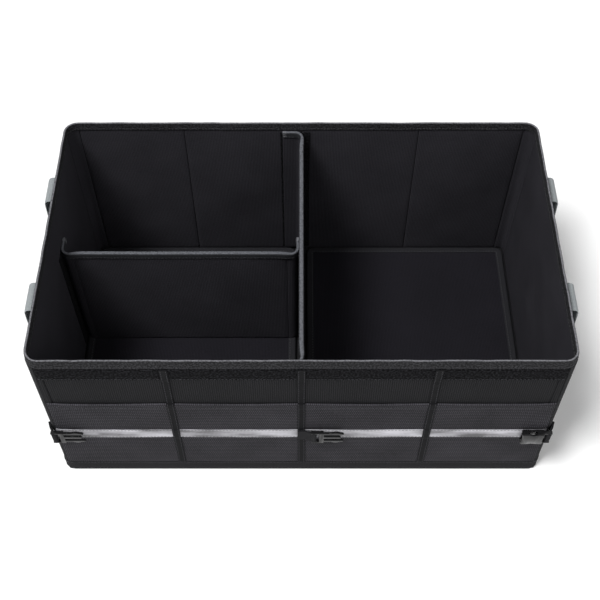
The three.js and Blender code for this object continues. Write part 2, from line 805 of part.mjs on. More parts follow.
function socketBodyShape() {
  const mouth = socketLength + barX;
  const round = mouthCornerRadius;
  const waist = (windowLength + mouth) / 2;
  const shape = new THREE.Shape();
  shape.moveTo(windowLength, -halfWidth);
  shape.quadraticCurveTo(waist, -halfWidth + socketWaist, mouth - round, -halfWidth);
  shape.quadraticCurveTo(mouth, -halfWidth, mouth, -halfWidth + round);
  shape.quadraticCurveTo(mouth - 2 * socketWaist, 0, mouth, halfWidth - round);
  shape.quadraticCurveTo(mouth, halfWidth, mouth - round, halfWidth);
  shape.quadraticCurveTo(waist, halfWidth - socketWaist, windowLength, halfWidth);
  return shape;
}

// The socket half: a flat tube open at the mouth, with a bite in each side where the arms' swells show.
function socketHalf() {
  const mouth = socketLength + barX;
  const cavityHalf = halfWidth - armSwell + socketPlay;
  const cavity = slab(
    [mouth - socketDepth, mouth + pieceOverlap],
    [-cavityHalf, cavityHalf],
    [-armThickness / 2 - socketPlay, armThickness / 2 + socketPlay],
  );
  const biteX = mouth - armLength * releaseBiteShare;
  const biteHeight = socketThickness + 2 * pieceOverlap;
  const bites = [1, -1].map((side) => {
    const bite = new THREE.CylinderGeometry(releaseBiteRadius, releaseBiteRadius, biteHeight, 24);
    const biteY = side * (halfWidth + releaseBiteRadius - releaseBiteDepth);
    return toSolid(bite.rotateX(Math.PI / 2).translate(biteX, biteY, 0));
  });
  return buckleFrame(windowLength + 2 * pieceOverlap)
    .add(flatPiece(socketBodyShape(), socketThickness, socketEdge))
    .subtract(toSolid(cavity))
    .subtract(bites[0])
    .subtract(bites[1]);
}

// Stands a buckle half against the front with its bar upright in its loop.
function hangBuckle(name, solid, x, turned) {
  const geometry = toGeometry(solid).rotateX(Math.PI / 2);
  if (turned) geometry.rotateZ(Math.PI);
  const mesh = add(name, geometry, finishes.blackPlastic);
  mesh.position.set(x, barY, buckleMiddle);
}

makeFloor();
makeWallPanels();
makeCornerGussets();
makeRimBinding();
makeFootBand();
makeCornerBindings();
makeFrontCloths();
makeFrontTapes();
makeBaseBoards();
makeMainDivider();
makeCrossDivider();
makeWallLoopStrips();
makeHandles();
makeCornerLoop();
makeCentreLoop();
hangBuckle("buckle_arms_left", armedHalf(), -cornerLoopX, false);
hangBuckle("buckle_arms_centre", armedHalf(), centreLoopX, false);
hangBuckle("buckle_socket_right", socketHalf(), cornerLoopX, true);

export default box;
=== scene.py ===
"""The look of a collapsible car storage box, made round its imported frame.

Metres, +Z up, the front towards -Y.
"""
import json
import logging
import math
from bisect import bisect_right
from collections.abc import Callable
from dataclasses import dataclass, field, replace
from enum import Enum
from functools import cache

import bmesh
import bpy
from bmesh.types import BMEdge, BMVert, BMesh
from bpy.types import ID, Material, Node, NodeSocket, NodeTree, Object
from mathutils import Matrix, Vector, noise
from mathutils.geometry import interpolate_bezier


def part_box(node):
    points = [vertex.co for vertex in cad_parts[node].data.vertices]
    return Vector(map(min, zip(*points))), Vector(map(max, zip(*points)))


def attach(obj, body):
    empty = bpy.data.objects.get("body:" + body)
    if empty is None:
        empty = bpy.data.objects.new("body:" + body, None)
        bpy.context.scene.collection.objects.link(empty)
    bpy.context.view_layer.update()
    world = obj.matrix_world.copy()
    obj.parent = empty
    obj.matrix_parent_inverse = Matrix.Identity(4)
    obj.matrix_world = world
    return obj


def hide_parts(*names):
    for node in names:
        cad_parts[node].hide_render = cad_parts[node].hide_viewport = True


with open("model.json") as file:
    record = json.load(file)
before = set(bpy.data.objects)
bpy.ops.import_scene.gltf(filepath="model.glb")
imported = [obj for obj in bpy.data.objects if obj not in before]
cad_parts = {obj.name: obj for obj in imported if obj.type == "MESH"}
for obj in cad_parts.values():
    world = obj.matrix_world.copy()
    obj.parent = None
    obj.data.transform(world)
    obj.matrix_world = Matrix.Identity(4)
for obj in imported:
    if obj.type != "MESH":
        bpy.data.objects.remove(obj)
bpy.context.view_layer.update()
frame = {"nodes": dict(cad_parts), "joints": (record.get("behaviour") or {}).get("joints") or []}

log = logging.getLogger("storage_box")

MM = 0.001
CLOTH_MAP = "cloth"
ROOT = "root"

# Points nearer than TOUCH are one, and surfaces that turn by more than SHARP_DEGREES have an edge
TOUCH = 1e-7
SHARP_DEGREES = 57

# The air between two sewn layers, and the rounding of a tape's edges
SEWN_GAP = 0.3 * MM
TAPE_EDGE = 0.25 * MM

Colour = tuple[float, float, float, float]
Place = Callable[[float, float, float], Vector]
WHITE: Colour = (1.0, 1.0, 1.0, 1.0)


def srgb(red: int, green: int, blue: int) -> Colour:
    """Turns a colour as a screen shows it, 0 to 255, into the linear colour that a shader takes."""
    def linear(value: float) -> float:
        """One channel, from 0 to 1, on the screen's curve."""
        return value / 12.92 if value <= 0.04045 else ((value + 0.055) / 1.055) ** 2.4
    return (*(linear(value / 255) for value in (red, green, blue)), 1.0)


def shade(colour: Colour, light: float) -> Colour:
    """A colour made darker or lighter by a factor."""
    return (*(channel * light for channel in colour[:3]), 1.0)


@cache
def extent(node: str) -> tuple[Vector, Vector]:
    """The lowest and the highest corner of a CAD node."""
    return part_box(node)


# Shader node groups

class Bench:
    """Adds nodes to one tree and joins them."""

    def __init__(self, tree: NodeTree) -> None:
        """Keeps the tree that nodes are added to."""
        self.tree = tree

    def node(self, kind: str, **settings: object) -> Node:
        """Adds a node.

        Args:
            kind: the node's type, without its ShaderNode or NodeGroup prefix.
            settings: values of the node's own properties.

        Returns:
            The new node.
        """
        prefix = "" if kind.startswith("NodeGroup") else "ShaderNode"
        made = self.tree.nodes.new(prefix + kind)
        for key, value in settings.items():
            setattr(made, key, value)
        return made

    def feed(self, socket: NodeSocket, value: object) -> None:
        """Links a socket to another one, or sets it to a plain value."""
        if isinstance(value, NodeSocket):
            self.tree.links.new(value, socket)
        else:
            socket.default_value = value

    def math(self, operation: str, *values: object) -> NodeSocket:
        """Adds a Math node.

        Args:
            operation: the node's operation.
            values: sockets or numbers for its inputs.

        Returns:
            Its output socket.
        """
        made = self.node("Math", operation=operation)
        for socket, value in zip(made.inputs, values):
            self.feed(socket, value)
        return made.outputs[0]

    def between(self, factor: object, low: object, high: object, blend: str = "MIX") -> NodeSocket:
        """Blends two colours by a factor and returns the output socket."""
        made = self.node("Mix", data_type="RGBA", blend_type=blend)
        self.feed(made.inputs[0], factor)
        self.feed(made.inputs[6], low)
        self.feed(made.inputs[7], high)
        return made.outputs[2]

    def fill(self, node: Node, **values: object) -> Node:
        """Feeds a node's inputs by name, with underscores for spaces, and returns the node."""
        for key, value in values.items():
            self.feed(node.inputs[key.replace("_", " ")], value)
        return node

    def noise(self, vector: object, scale: object, detail: float = 3.0) -> NodeSocket:
        """Adds a Noise Texture and returns its value socket."""
        return self.fill(self.node("TexNoise"), Vector=vector, Scale=scale, Detail=detail).outputs[0]

    def split(self, vector: object) -> tuple[NodeSocket, ...]:
        """Splits a vector and returns the sockets of its three parts."""
        return tuple(self.fill(self.node("SeparateXYZ"), Vector=vector).outputs)

    def mapped(self, vector: object, **setting: tuple[float, float, float]) -> NodeSocket:
        """Turns or stretches a vector and returns the output socket."""
        return self.fill(self.node("Mapping"), Vector=vector, **setting).outputs[0]

    def stretched(self, value: object, low: float, high: float) -> NodeSocket:
        """Spreads the values between low and high over 0 to 1 and returns the output socket."""
        return self.fill(self.node("MapRange"), Value=value, From_Min=low, From_Max=high).outputs[0]

    def times(self, first: object, second: object) -> NodeSocket:
        """Multiplies two values and returns the output socket."""
        return self.math("MULTIPLY", first, second)

    def scaled(self, value: object, factor: object, more: object) -> NodeSocket:
        """Multiplies a value, adds to it and returns the output socket."""
        return self.math("MULTIPLY_ADD", value, factor, more)

    def mixed(self, first: object, second: object, share: float) -> NodeSocket:
        """Adds a share of the first value to the rest of the second and returns the output socket."""
        return self.scaled(first, share, self.times(second, 1 - share))

    def threads(self, count: object) -> NodeSocket:
        """Turns a count of threads into their round tops, 0 between two of them and 1 on each."""
        return self.math("ABSOLUTE", self.math("SINE", self.times(count, math.pi)))

    def bump(self, shader: Node, height: object, distance: float, strength: float = 1.0) -> None:
        """Gives a shader its relief.

        Args:
            shader: the shader that takes the normal.
            height: the socket of the relief's height.
            distance: how high a height of 1 is.
            strength: how much of the relief shows.
        """
        made = self.fill(self.node("Bump"), Distance=distance, Strength=strength, Height=height)
        self.fill(shader, Normal=made.outputs[0])


def node_group(name: str, numbers: tuple[str, ...],
               outputs: tuple[str, ...]) -> tuple[NodeTree, Bench, dict, dict]:
    """Starts a shader node group that takes a vector and numbers.

    Args:
        name: the group's name.
        numbers: names of its float inputs.
        outputs: names of its float outputs.

    Returns:
        The group, a bench for it, its inputs by name, and the sockets that its outputs are fed through.
    """
    tree = bpy.data.node_groups.new(name, "ShaderNodeTree")
    tree.interface.new_socket("Vector", in_out="INPUT", socket_type="NodeSocketVector")
    for way, names in (("INPUT", numbers), ("OUTPUT", outputs)):
        for key in names:
            tree.interface.new_socket(key, in_out=way, socket_type="NodeSocketFloat")
    bench = Bench(tree)
    given, result = bench.node("NodeGroupInput"), bench.node("NodeGroupOutput")
    return tree, bench, {s.name: s for s in given.outputs}, {s.name: s for s in result.inputs}


def weave_group() -> NodeTree:
    """A plain weave: rounded warp ribs, crossed by weft that passes over every other one.

    Its pitches are in metres.
    """
    tree, bench, given, result = node_group(
        "weave", ("Rib Pitch", "Pick Pitch", "Waver"), ("Height", "Thread"))
    drift = bench.times(bench.noise(given["Vector"], 40.0), given["Waver"])
    along, across, _ = bench.split(given["Vector"])
    ribs = bench.math("DIVIDE", bench.math("ADD", along, drift), given["Rib Pitch"])
    picks = bench.math("DIVIDE", bench.math("ADD", across, drift), given["Pick Pitch"])
    parity = bench.times(bench.math("MODULO", bench.math("FLOOR", ribs), 2.0), 0.5)
    warp, weft = bench.threads(ribs), bench.threads(bench.math("ADD", picks, parity))
    bench.feed(result["Height"], bench.times(warp, bench.scaled(weft, 0.5, 0.5)))
    bench.feed(result["Thread"], bench.times(warp, weft))
    return tree


def mottle_group() -> NodeTree:
    """Slow unevenness of colour over a surface, from 0 to 1."""
    tree, bench, given, result = node_group("mottle", ("Scale",), ("Value",))
    broad = bench.noise(given["Vector"], given["Scale"], 4.0)
    fine = bench.noise(given["Vector"], bench.times(given["Scale"], 30.0), 2.0)
    bench.feed(result["Value"], bench.stretched(bench.mixed(fine, broad, 0.5), 0.32, 0.68))
    return tree


def fuzz_group() -> NodeTree:
    """A pile of tiny loops and fibre ends, as a height and as a mask of the loops that catch light."""
    tree, bench, given, result = node_group("fuzz", ("Scale",), ("Height", "Tips"))
    cells = bench.fill(bench.node("TexVoronoi", feature="F1"), Vector=given["Vector"], Scale=given["Scale"])
    loops = bench.math("SUBTRACT", 1.0, cells.outputs["Distance"])
    fibres = bench.noise(given["Vector"], bench.times(given["Scale"], 2.7), 4.0)
    bench.feed(result["Height"], bench.scaled(fibres, 0.6, bench.times(loops, 0.5)))
    bench.feed(result["Tips"], bench.stretched(fibres, 0.44, 0.62))
    return tree


def shared_group(name: str) -> NodeTree:
    """Returns the named shader group, which is built once."""
    makers = {"weave": weave_group, "mottle": mottle_group, "fuzz": fuzz_group}
    return bpy.data.node_groups.get(name) or makers[name]()


# Finishes

@dataclass(frozen=True)
class Finish:
    """What a surface is made of."""

    name: str
    colour: Colour
    roughness: float = 0.85

    def start(self) -> tuple[Material, Bench, Node]:
        """Makes an empty material.

        Returns:
            The material, a bench for its nodes, and its Principled shader.
        """
        made = bpy.data.materials.new(self.name)
        made.use_nodes = True
        made.diffuse_color = self.colour
        bench = Bench(made.node_tree)
        return made, bench, made.node_tree.nodes["Principled BSDF"]

    def use(self, bench: Bench, group: str, **values: object) -> dict[str, NodeSocket]:
        """Places a shared group and returns its outputs by name."""
        made = bench.fill(bench.node("Group", node_tree=shared_group(group)), **values)
        return {s.name: s for s in made.outputs}

    def material(self) -> Material:
        """Returns the material of this finish, which is made once."""
        return bpy.data.materials.get(self.name) or self.make()

    def make(self) -> Material:
        """Builds the material."""
        raise NotImplementedError


@dataclass(frozen=True)
class Woven(Finish):
    """Woven cloth, tape or webbing. Ribs run across the piece's length unless they are turned."""

    rib: float = 1.1 * MM
    pick: float = 0.7 * MM
    contrast: float = 0.3
    relief: float = 0.25 * MM
    shine: float = 0.1
    pile: float = 0.0
    pile_scale: float = 520.0
    turned: bool = False
    variation: float = 0.14
    # Where crest is set, a painted highlight runs along the fold's crest at that distance across the strip
    crest: float = 0.0
    crest_width: float = 1.3 * MM
    painted_highlight_gain: float = 1.0
    waver: float = 0.3 * MM
    mottle_scale: float = 14.0
    wear: float = 0.1

    def painted_crest_highlight(self, bench: Bench, flat: NodeSocket) -> NodeSocket:
        """A mask of the painted highlight on the fold's crest, which runs along the strip at one distance
        across it.
        """
        away = bench.math("ABSOLUTE", bench.math("SUBTRACT", bench.split(flat)[1], self.crest))
        band = bench.math("DIVIDE", bench.math("SUBTRACT", self.crest_width, away), 0.4 * self.crest_width)
        uneven = bench.scaled(bench.noise(flat, 420.0), 2.4, -0.35)
        return bench.times(bench.math("MINIMUM", bench.math("MAXIMUM", band, 0.0), 1.0), uneven)

    def make(self) -> Material:
        """Builds the material from the weave, the mottle and, where there is a pile, the fuzz; where there
        is a crest, a painted highlight.
        """
        made, bench, shader = self.start()
        flat = bench.node("UVMap", uv_map=CLOTH_MAP).outputs[0]
        if self.turned:
            flat = bench.mapped(flat, Rotation=(0, 0, math.pi / 2))
        weave = self.use(bench, "weave", Vector=flat, Rib_Pitch=self.rib, Pick_Pitch=self.pick,
                         Waver=self.waver)
        mottle = self.use(bench, "mottle", Vector=flat, Scale=self.mottle_scale)["Value"]
        thread, height = weave["Thread"], weave["Height"]
        if self.pile:
            fuzz = self.use(bench, "fuzz", Vector=flat, Scale=self.pile_scale)
            thread = bench.mixed(fuzz["Tips"], thread, self.pile)
            height = bench.mixed(fuzz["Height"], height, self.pile)
        worked = bench.between(thread, shade(self.colour, 1 - self.contrast),
                               shade(self.colour, 1 + self.contrast))
        patches = bench.between(mottle, shade(WHITE, 1 - self.variation), shade(WHITE, 1 + self.variation))
        colour = bench.between(1.0, worked, patches, "MULTIPLY")
        # Painted highlight: the fold's crest is painted paler, where light catches the fold
        if self.crest:
            colour = bench.between(self.painted_crest_highlight(bench, flat), colour, shade(self.colour, self.painted_highlight_gain))
        rough = bench.scaled(mottle, self.wear, self.roughness - self.wear / 2)
        bench.fill(shader, Base_Color=colour, Roughness=rough, Specular_IOR_Level=self.shine)
        bench.bump(shader, height, self.relief, 0.8)
        return made


@dataclass(frozen=True)
class Reflector(Finish):
    """Silver reflective tape, streaked along its length and crossed by a fine grid of beads."""

    beads: float = 1.6 * MM
    metal: float = 0.25
    wear: float = 0.2

    def make(self) -> Material:
        """Builds the material."""
        made, bench, shader = self.start()
        flat = bench.node("UVMap", uv_map=CLOTH_MAP).outputs[0]
        streak = bench.noise(bench.mapped(flat, Scale=(13.0, 40.0, 1.0)), 1.0, 4.0)
        beads = self.use(bench, "weave", Vector=flat, Rib_Pitch=self.beads, Pick_Pitch=self.beads,
                         Waver=0.1 * MM)["Height"]
        spread = bench.times(bench.math("SUBTRACT", streak, 0.4), 4.6)
        share = bench.scaled(beads, 0.25, bench.times(spread, 0.85))
        tint = bench.between(share, shade(self.colour, 0.25), shade(self.colour, 1.7))
        bench.fill(shader, Base_Color=tint, Metallic=self.metal,
                   Roughness=bench.scaled(streak, self.wear, self.roughness))
        bench.bump(shader, beads, 0.08 * MM)
        return made


@dataclass(frozen=True)
class Plastic(Finish):
    """Glossy moulded plastic with a faint grain and handling marks."""

    shine: float = 0.22
    wear: float = 0.08

    def make(self) -> Material:
        """Builds the material."""
        made, bench, shader = self.start()
        place = bench.node("TexCoord").outputs["Object"]
        mottle = self.use(bench, "mottle", Vector=place, Scale=160.0)["Value"]
        tint = bench.between(mottle, self.colour, shade(self.colour, 1.6))
        bench.fill(shader, Base_Color=tint, Roughness=bench.scaled(mottle, self.wear, self.roughness),
                   Specular_IOR_Level=self.shine)
        bench.bump(shader, bench.noise(place, 2200.0, 2.0), 0.04 * MM)
        return made


class Look(Enum):
    """The finishes of the box."""

    OXFORD = Woven("stiff oxford", srgb(30, 30, 32), rib=2.4 * MM, pick=1.1 * MM, contrast=0.8,
                   variation=0.35)
    POCKET = Woven("pocket oxford", srgb(51, 50, 54), rib=4.0 * MM, pick=2.4 * MM, contrast=0.85,
                   variation=0.5, turned=True)
    LINING = Woven("lining cloth", srgb(52, 51, 56), rib=2.0 * MM, pick=1.1 * MM, contrast=0.45,
                   relief=0.15 * MM, variation=0.22)
    # The boards are covered in the lining cloth; this darker copy of it is painted shade on the compartment
    # floors
    BOARD = replace(LINING, name="board lining with painted shade", colour=srgb(27, 26, 31))
    # The rim tape carries a painted highlight along the crest of its top fold
    RIM = Woven("rim tape", srgb(45, 45, 47), rib=0.9 * MM, pick=1.6 * MM, contrast=0.8, pile=0.8,
                pile_scale=170.0, crest=15.9 * MM, painted_highlight_gain=6.5, variation=0.3)
    BINDING = Woven("bound tape", srgb(33, 33, 35), rib=0.9 * MM, pick=1.6 * MM, contrast=0.6, pile=0.5,
                    pile_scale=200.0, variation=0.3)
    BOARD_TAPE = Woven("board tape", srgb(38, 38, 41), rib=0.9 * MM, pick=1.6 * MM, contrast=0.5, pile=0.2)
    FRONT_TAPE = replace(BOARD_TAPE, name="front tape", colour=srgb(19, 19, 21), contrast=0.4)
    # The divider edge tape carries a painted highlight along its crest over the panel's top
    EDGE = Woven("divider edge", srgb(48, 49, 52), rib=0.9 * MM, pick=1.4 * MM, contrast=0.5, pile=0.3,
                 crest=11.8 * MM, crest_width=2.7 * MM, painted_highlight_gain=3.9)
    LOOP = Woven("loop pile", srgb(26, 26, 28), rib=1.2 * MM, pick=1.2 * MM, contrast=0.85,
                 relief=0.2 * MM, pile=0.9, pile_scale=150.0, roughness=0.95, shine=0.05, variation=0.3)
    HANDLE = Woven("handle webbing", srgb(148, 153, 155), rib=1.9 * MM, pick=1.1 * MM, contrast=0.2,
                   relief=0.35 * MM, turned=True)
    STRAP = Woven("buckle strap", srgb(34, 34, 36), rib=1.6 * MM, pick=1.0 * MM, contrast=0.5,
                  relief=0.3 * MM, turned=True)
    THREAD = Woven("sewing thread", srgb(76, 76, 80), rib=0.4 * MM, pick=0.4 * MM, contrast=0.3)
    TACK = replace(THREAD, name="end tack thread", colour=srgb(150, 150, 154))
    SILVER = Reflector("silver tape", srgb(157, 156, 161), roughness=0.42)
    PLASTIC = Plastic("gloss plastic", srgb(18, 18, 19), roughness=0.11)


# Shapes

def bend(bm: BMesh, place: Place) -> None:
    """Moves every vertex from where it lies flat to where place puts it."""
    for vertex in bm.verts:
        vertex.co = place(*vertex.co)


def ripple(x: float, y: float, size: float, reach: float, seed: float) -> float:
    """The soft unevenness of cloth at a point: waves about size wide and up to reach high."""
    return reach * noise.noise(Vector((x / size, y / size, seed)))


def ring_ripple(share: float, size: float, reach: float, seed: float, rise: float = 0.0) -> float:
    """The unevenness of a closed band at a share of its length: its end meets its start."""
    turn, girth = share * math.tau, 3
    return ripple(math.cos(turn) * girth, math.sin(turn) * girth + rise, size, reach, seed)


def crown(share_x: float, share_y: float) -> float:
    """How far a stuffed panel stands up, from 0 on its edges to 1 over most of its middle."""
    x, y = 2 * share_x - 1, 2 * share_y - 1
    return max(0.0, (1 - x ** 4) * (1 - y ** 4))


def smooth(low: float, high: float, value: float) -> float:
    """Eases from 0 at low to 1 at high."""
    share = min(1.0, max(0.0, (value - low) / (high - low)))
    return share * share * (3 - 2 * share)


def rounded(points: list[Vector], radius: float, steps: int = 6) -> list[Vector]:
    """Rounds the corners of a line.

    Args:
        points: the line's corners, from end to end.
        radius: how far from a corner its curve starts, at most half of the shorter side.
        steps: points on each curve.

    Returns:
        The line's points, with a curve in place of each inner corner.
    """
    line = [points[0]]
    for before, corner, after in zip(points, points[1:], points[2:]):
        reach = min(radius, (before - corner).length / 2, (after - corner).length / 2)
        start = corner + (before - corner).normalized() * reach
        end = corner + (after - corner).normalized() * reach
        line += interpolate_bezier(start, start.lerp(corner, 0.55), end.lerp(corner, 0.55), end, steps)
    return [*line, points[-1]]


def sharp_edges(bm: BMesh, degrees: float) -> list[BMEdge]:
    """The edges at which the surface turns by more than an angle."""
    return [edge for edge in bm.edges if edge.calc_face_angle(0) > math.radians(degrees)]


def round_edges(bm: BMesh, edges: list[BMEdge], offset: float, segments: int = 2,
                clamp: bool = False) -> None:
    """Rounds edges.

    Args:
        bm: the mesh.
        edges: its edges to round.
        offset: how far the rounding reaches from an edge.
        segments: rows of faces on the rounding.
        clamp: true to end a rounding where it meets another.
    """
    bmesh.ops.bevel(bm, geom=edges, offset=offset, segments=segments, profile=0.5, affect="EDGES",
                    material=-1, clamp_overlap=clamp)


def map_cloth(bm: BMesh, height_along: bool = False) -> None:
    """Gives a flat mesh its cloth map. Its height counts across the cloth, or along it."""
    layer = bm.loops.layers.uv.new(CLOTH_MAP)
    for face in bm.faces:
        for loop in face.loops:
            x, y, z = loop.vert.co
            loop[layer].uv = (x + z, y) if height_along else (x, y + z)


@dataclass(frozen=True)
class Strip:
    """A length of cloth laid flat: X along it, Y across it and Z through it, from 0."""

    length: float
    width: float
    thickness: float
    step: float
    rows: int
    rim: float
    closed: bool = False

    def cut(self) -> BMesh:
        """Makes the flat strip with rounded edges and its cloth map. A closed strip has no end faces."""
        bm = bmesh.new()
        columns = max(1, round(self.length / self.step))
        bmesh.ops.create_grid(bm, x_segments=columns, y_segments=self.rows, size=0.5)
        bmesh.ops.scale(bm, verts=bm.verts, vec=(self.length, self.width, 1))
        bmesh.ops.translate(bm, verts=bm.verts, vec=(self.length / 2, self.width / 2, 0))
        grown = bmesh.ops.extrude_face_region(bm, geom=bm.faces[:], use_keep_orig=True)
        top = [item for item in grown["geom"] if isinstance(item, BMVert)]
        bmesh.ops.translate(bm, verts=top, vec=(0, 0, self.thickness))
        if self.closed:
            middle = self.length / 2
            ends = [f for f in bm.faces if abs(f.calc_center_median().x - middle) > middle - TOUCH]
            bmesh.ops.delete(bm, geom=ends, context="FACES_ONLY")
        bmesh.ops.recalc_face_normals(bm, faces=bm.faces)
        bm.normal_update()
        round_edges(bm, sharp_edges(bm, SHARP_DEGREES), self.rim)
        map_cloth(bm)
        return bm

    def laid(self, place: Place) -> BMesh:
        """Cuts the strip, bends it by place and joins the ends of a closed one."""
        bm = self.cut()
        bend(bm, place)
        if self.closed:
            bmesh.ops.remove_doubles(bm, verts=bm.verts, dist=0.02 * MM)
        return bm


class Route:
    """A line in space that a strip is bent along, with the way its width runs at each point."""

    def __init__(self, points: list[Vector], across: list[Vector]) -> None:
        """Measures the line.

        Args:
            points: points along the line, close together on its curves.
            across: the direction of the strip's width at each point, or one for all.
        """
        kept = [0] + [i for i in range(1, len(points)) if (points[i] - points[i - 1]).length > TOUCH]
        self.points = [points[i] for i in kept]
        self.across = [across[i] for i in kept] if len(across) > 1 else across * len(kept)
        self.runs = [0.0]
        for before, after in zip(self.points, self.points[1:]):
            self.runs.append(self.runs[-1] + (after - before).length)
        last = len(self.points) - 1
        self.ways = [(self.points[min(i + 1, last)] - self.points[max(i - 1, 0)]).normalized()
                     for i in range(last + 1)]

    @property
    def length(self) -> float:
        """How long the line is."""
        return self.runs[-1]

    def place(self, run: float, side: float, out: float) -> Vector:
        """Where a point of the strip goes.

        Args:
            run: how far along the line it is.
            side: how far along the strip's width.
            out: how far off the strip's face.

        Returns:
            The point in the part's frame.
        """
        i = min(max(bisect_right(self.runs, run) - 1, 0), len(self.runs) - 2)
        share = (run - self.runs[i]) / (self.runs[i + 1] - self.runs[i])
        at = self.points[i].lerp(self.points[i + 1], share)
        across = self.across[i].lerp(self.across[i + 1], share).normalized()
        way = self.ways[i].lerp(self.ways[i + 1], min(max(share, 0.0), 1.0))
        return at + across * side + way.cross(across).normalized() * out


def fold_line(points: tuple[tuple[float, float], ...], radius: float) -> Route:
    """The line in X and Z that a tape's width is folded along, with its corners rounded."""
    return Route(rounded([Vector((x, 0, z)) for x, z in points], radius, 8), [Vector((0, 1, 0))])


@dataclass(frozen=True)
class Perimeter:
    """The rounded outline of the walls or of a board, followed anticlockwise from the front's left end."""

    half_length: float
    half_depth: float
    zone: float
    foot_radius: float
    height: float
    centre_x: float = 0.0

    @property
    def corner(self) -> float:
        """The run given to one corner."""
        return self.zone * math.pi / 2

    @property
    def front(self) -> float:
        """The run of the straight front."""
        return 2 * (self.half_length - self.zone)

    @property
    def side(self) -> float:
        """The run of a straight side."""
        return 2 * (self.half_depth - self.zone)

    @property
    def length(self) -> float:
        """The whole run."""
        return 2 * (self.front + self.side) + 4 * self.corner

    def radius(self, z: float) -> float:
        """The corners' radius at a height."""
        return self.foot_radius + (self.zone - self.foot_radius) * min(max(z / self.height, 0.0), 1.0)

    def turned(self, degrees: float, z: float) -> float:
        """How far into a corner its curve has turned through an angle, at a height."""
        plain, arc = self.zone - self.radius(z), self.radius(z) * math.pi / 2
        return (plain + arc * degrees / 90) / (2 * plain + arc) * self.corner

    def at(self, run: float, out: float, z: float) -> Vector:
        """A point beside the outline.

        Args:
            run: how far along the outline.
            out: how far outside it.
            z: the height, which sets the corner's radius.

        Returns:
            The point in the part's frame.
        """
        run %= self.length
        way, normal = Vector((1, 0, 0)), Vector((0, -1, 0))
        straight, reach = self.front, self.half_depth
        while run > straight + self.corner:
            run -= straight + self.corner
            way, normal = -normal, way
            on_side = bool(way.y)
            straight, reach = (self.side, self.half_length) if on_side else (self.front, self.half_depth)
        along, inward = run - straight / 2, 0.0
        if run > straight:
            radius = self.radius(z)
            plain, arc = self.zone - radius, radius * math.pi / 2
            walked = (run - straight) / self.corner * (2 * plain + arc)
            turn = min(max((walked - plain) / radius, 0.0), math.pi / 2)
            along = straight / 2 + min(walked, plain) + radius * math.sin(turn)
            inward = radius * (1 - math.cos(turn)) + max(0.0, walked - plain - arc)
            normal_here = normal * math.cos(turn) + way * math.sin(turn)
        else:
            normal_here = normal
        flat = normal * (reach - inward) + way * along + normal_here * out
        return Vector((flat.x + self.centre_x, flat.y, z))


@dataclass(frozen=True)
class StitchRow:
    """A row of stitches laid flat along X, on top of Z = 0."""

    length: float
    pitch: float = 4.2 * MM
    thread: float = 0.75 * MM
    reach: float = 0.41
    rise: float = 0.42

    def sew(self, bm: BMesh, place: Place) -> None:
        """Adds the row to a mesh, bent by place.

        Args:
            bm: the mesh that takes the stitches.
            place: where each point of the flat row goes.
        """
        row = bmesh.new()
        shape = Matrix.Diagonal((self.pitch * self.reach, self.thread / 2, self.thread * self.rise, 1))
        middle = Matrix.Translation((self.pitch / 2, 0, 0))
        bmesh.ops.create_icosphere(row, subdivisions=1, radius=1, matrix=middle @ shape)
        count, have = max(1, int(self.length / self.pitch)), 1
        while have < count:
            copied = bmesh.ops.duplicate(row, geom=[*row.verts, *row.edges, *row.faces])["geom"]
            moved = [item for item in copied if isinstance(item, BMVert)]
            bmesh.ops.translate(row, verts=moved, vec=(have * self.pitch, 0, 0))
            have *= 2
        extra = [v for v in row.verts if v.co.x > count * self.pitch]
        bmesh.ops.delete(row, geom=extra, context="VERTS")
        map_cloth(row)
        bend(row, place)
        spare = bpy.data.meshes.new("row")
        row.to_mesh(spare)
        row.free()
        bm.from_mesh(spare)
        bpy.data.meshes.remove(spare)


def add_object(name: str, data: ID) -> Object:
    """Adds an object to the scene and returns it."""
    made = bpy.data.objects.new(name, data)
    bpy.context.scene.collection.objects.link(made)
    return made


def keep(name: str, bm: BMesh, looks: list[Look], nodes: tuple[str, ...] = (),
         body: str = ROOT, crease: float = 50) -> Object:
    """Turns a finished mesh into a piece of the box.

    Args:
        name: the piece's name.
        bm: its mesh, in place, which is freed.
        looks: its finishes, in the order of its faces' material numbers.
        nodes: the CAD nodes that it stands for.
        body: the body that it rides on.
        crease: edges sharper than this many degrees stay sharp.

    Returns:
        The new object.
    """
    bmesh.ops.recalc_face_normals(bm, faces=bm.faces)
    mesh = bpy.data.meshes.new(name)
    bm.to_mesh(mesh)
    bm.free()
    mesh.shade_smooth()
    mesh.set_sharp_from_angle(angle=math.radians(crease))
    for look in looks:
        mesh.materials.append(look.value.material())
    made = add_object(name, mesh)
    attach(made, body)
    if nodes:
        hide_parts(*nodes)
    log.info("%s: %d faces on %s", name, len(mesh.polygons), body)
    return made


class Seams:
    """The stitches of one sub-assembly, sewn into one mesh."""

    def __init__(self) -> None:
        """Starts without a stitch."""
        self.mesh = bmesh.new()

    def rows(self, place: Place, length: float, edges: tuple[float, ...], top: float,
             start: float = 0.0) -> None:
        """Sews straight rows along a strip.

        Args:
            place: where each point of the flat strip goes.
            length: how long the rows are.
            edges: how far across the strip each row lies.
            top: where through the strip the face is that they lie on.
            start: where along the strip they start.
        """
        row = StitchRow(length)
        for edge in edges:
            row.sew(self.mesh, lambda x, y, z: place(start + x, edge + y, top + z))

    def finish(self, name: str, slot: str) -> None:
        """Turns the stitches into a piece."""
        keep(name, self.mesh, [Look.THREAD])


# Walls

WALLS = Perimeter(
    half_length=extent("right_panel")[1].x,
    half_depth=extent("back_panel_1")[1].y,
    zone=extent("back_panel_1")[1].y - extent("right_panel")[1].y,
    foot_radius=8 * MM,
    height=extent("rim_binding")[1].z,
)
WALL_THICKNESS = extent("back_panel_1")[1].y - extent("back_panel_1")[0].y
FRONT_WRAP_DEGREES = 20
CORNER_BINDING_DEGREES = 66
PILE_CREASE = 70


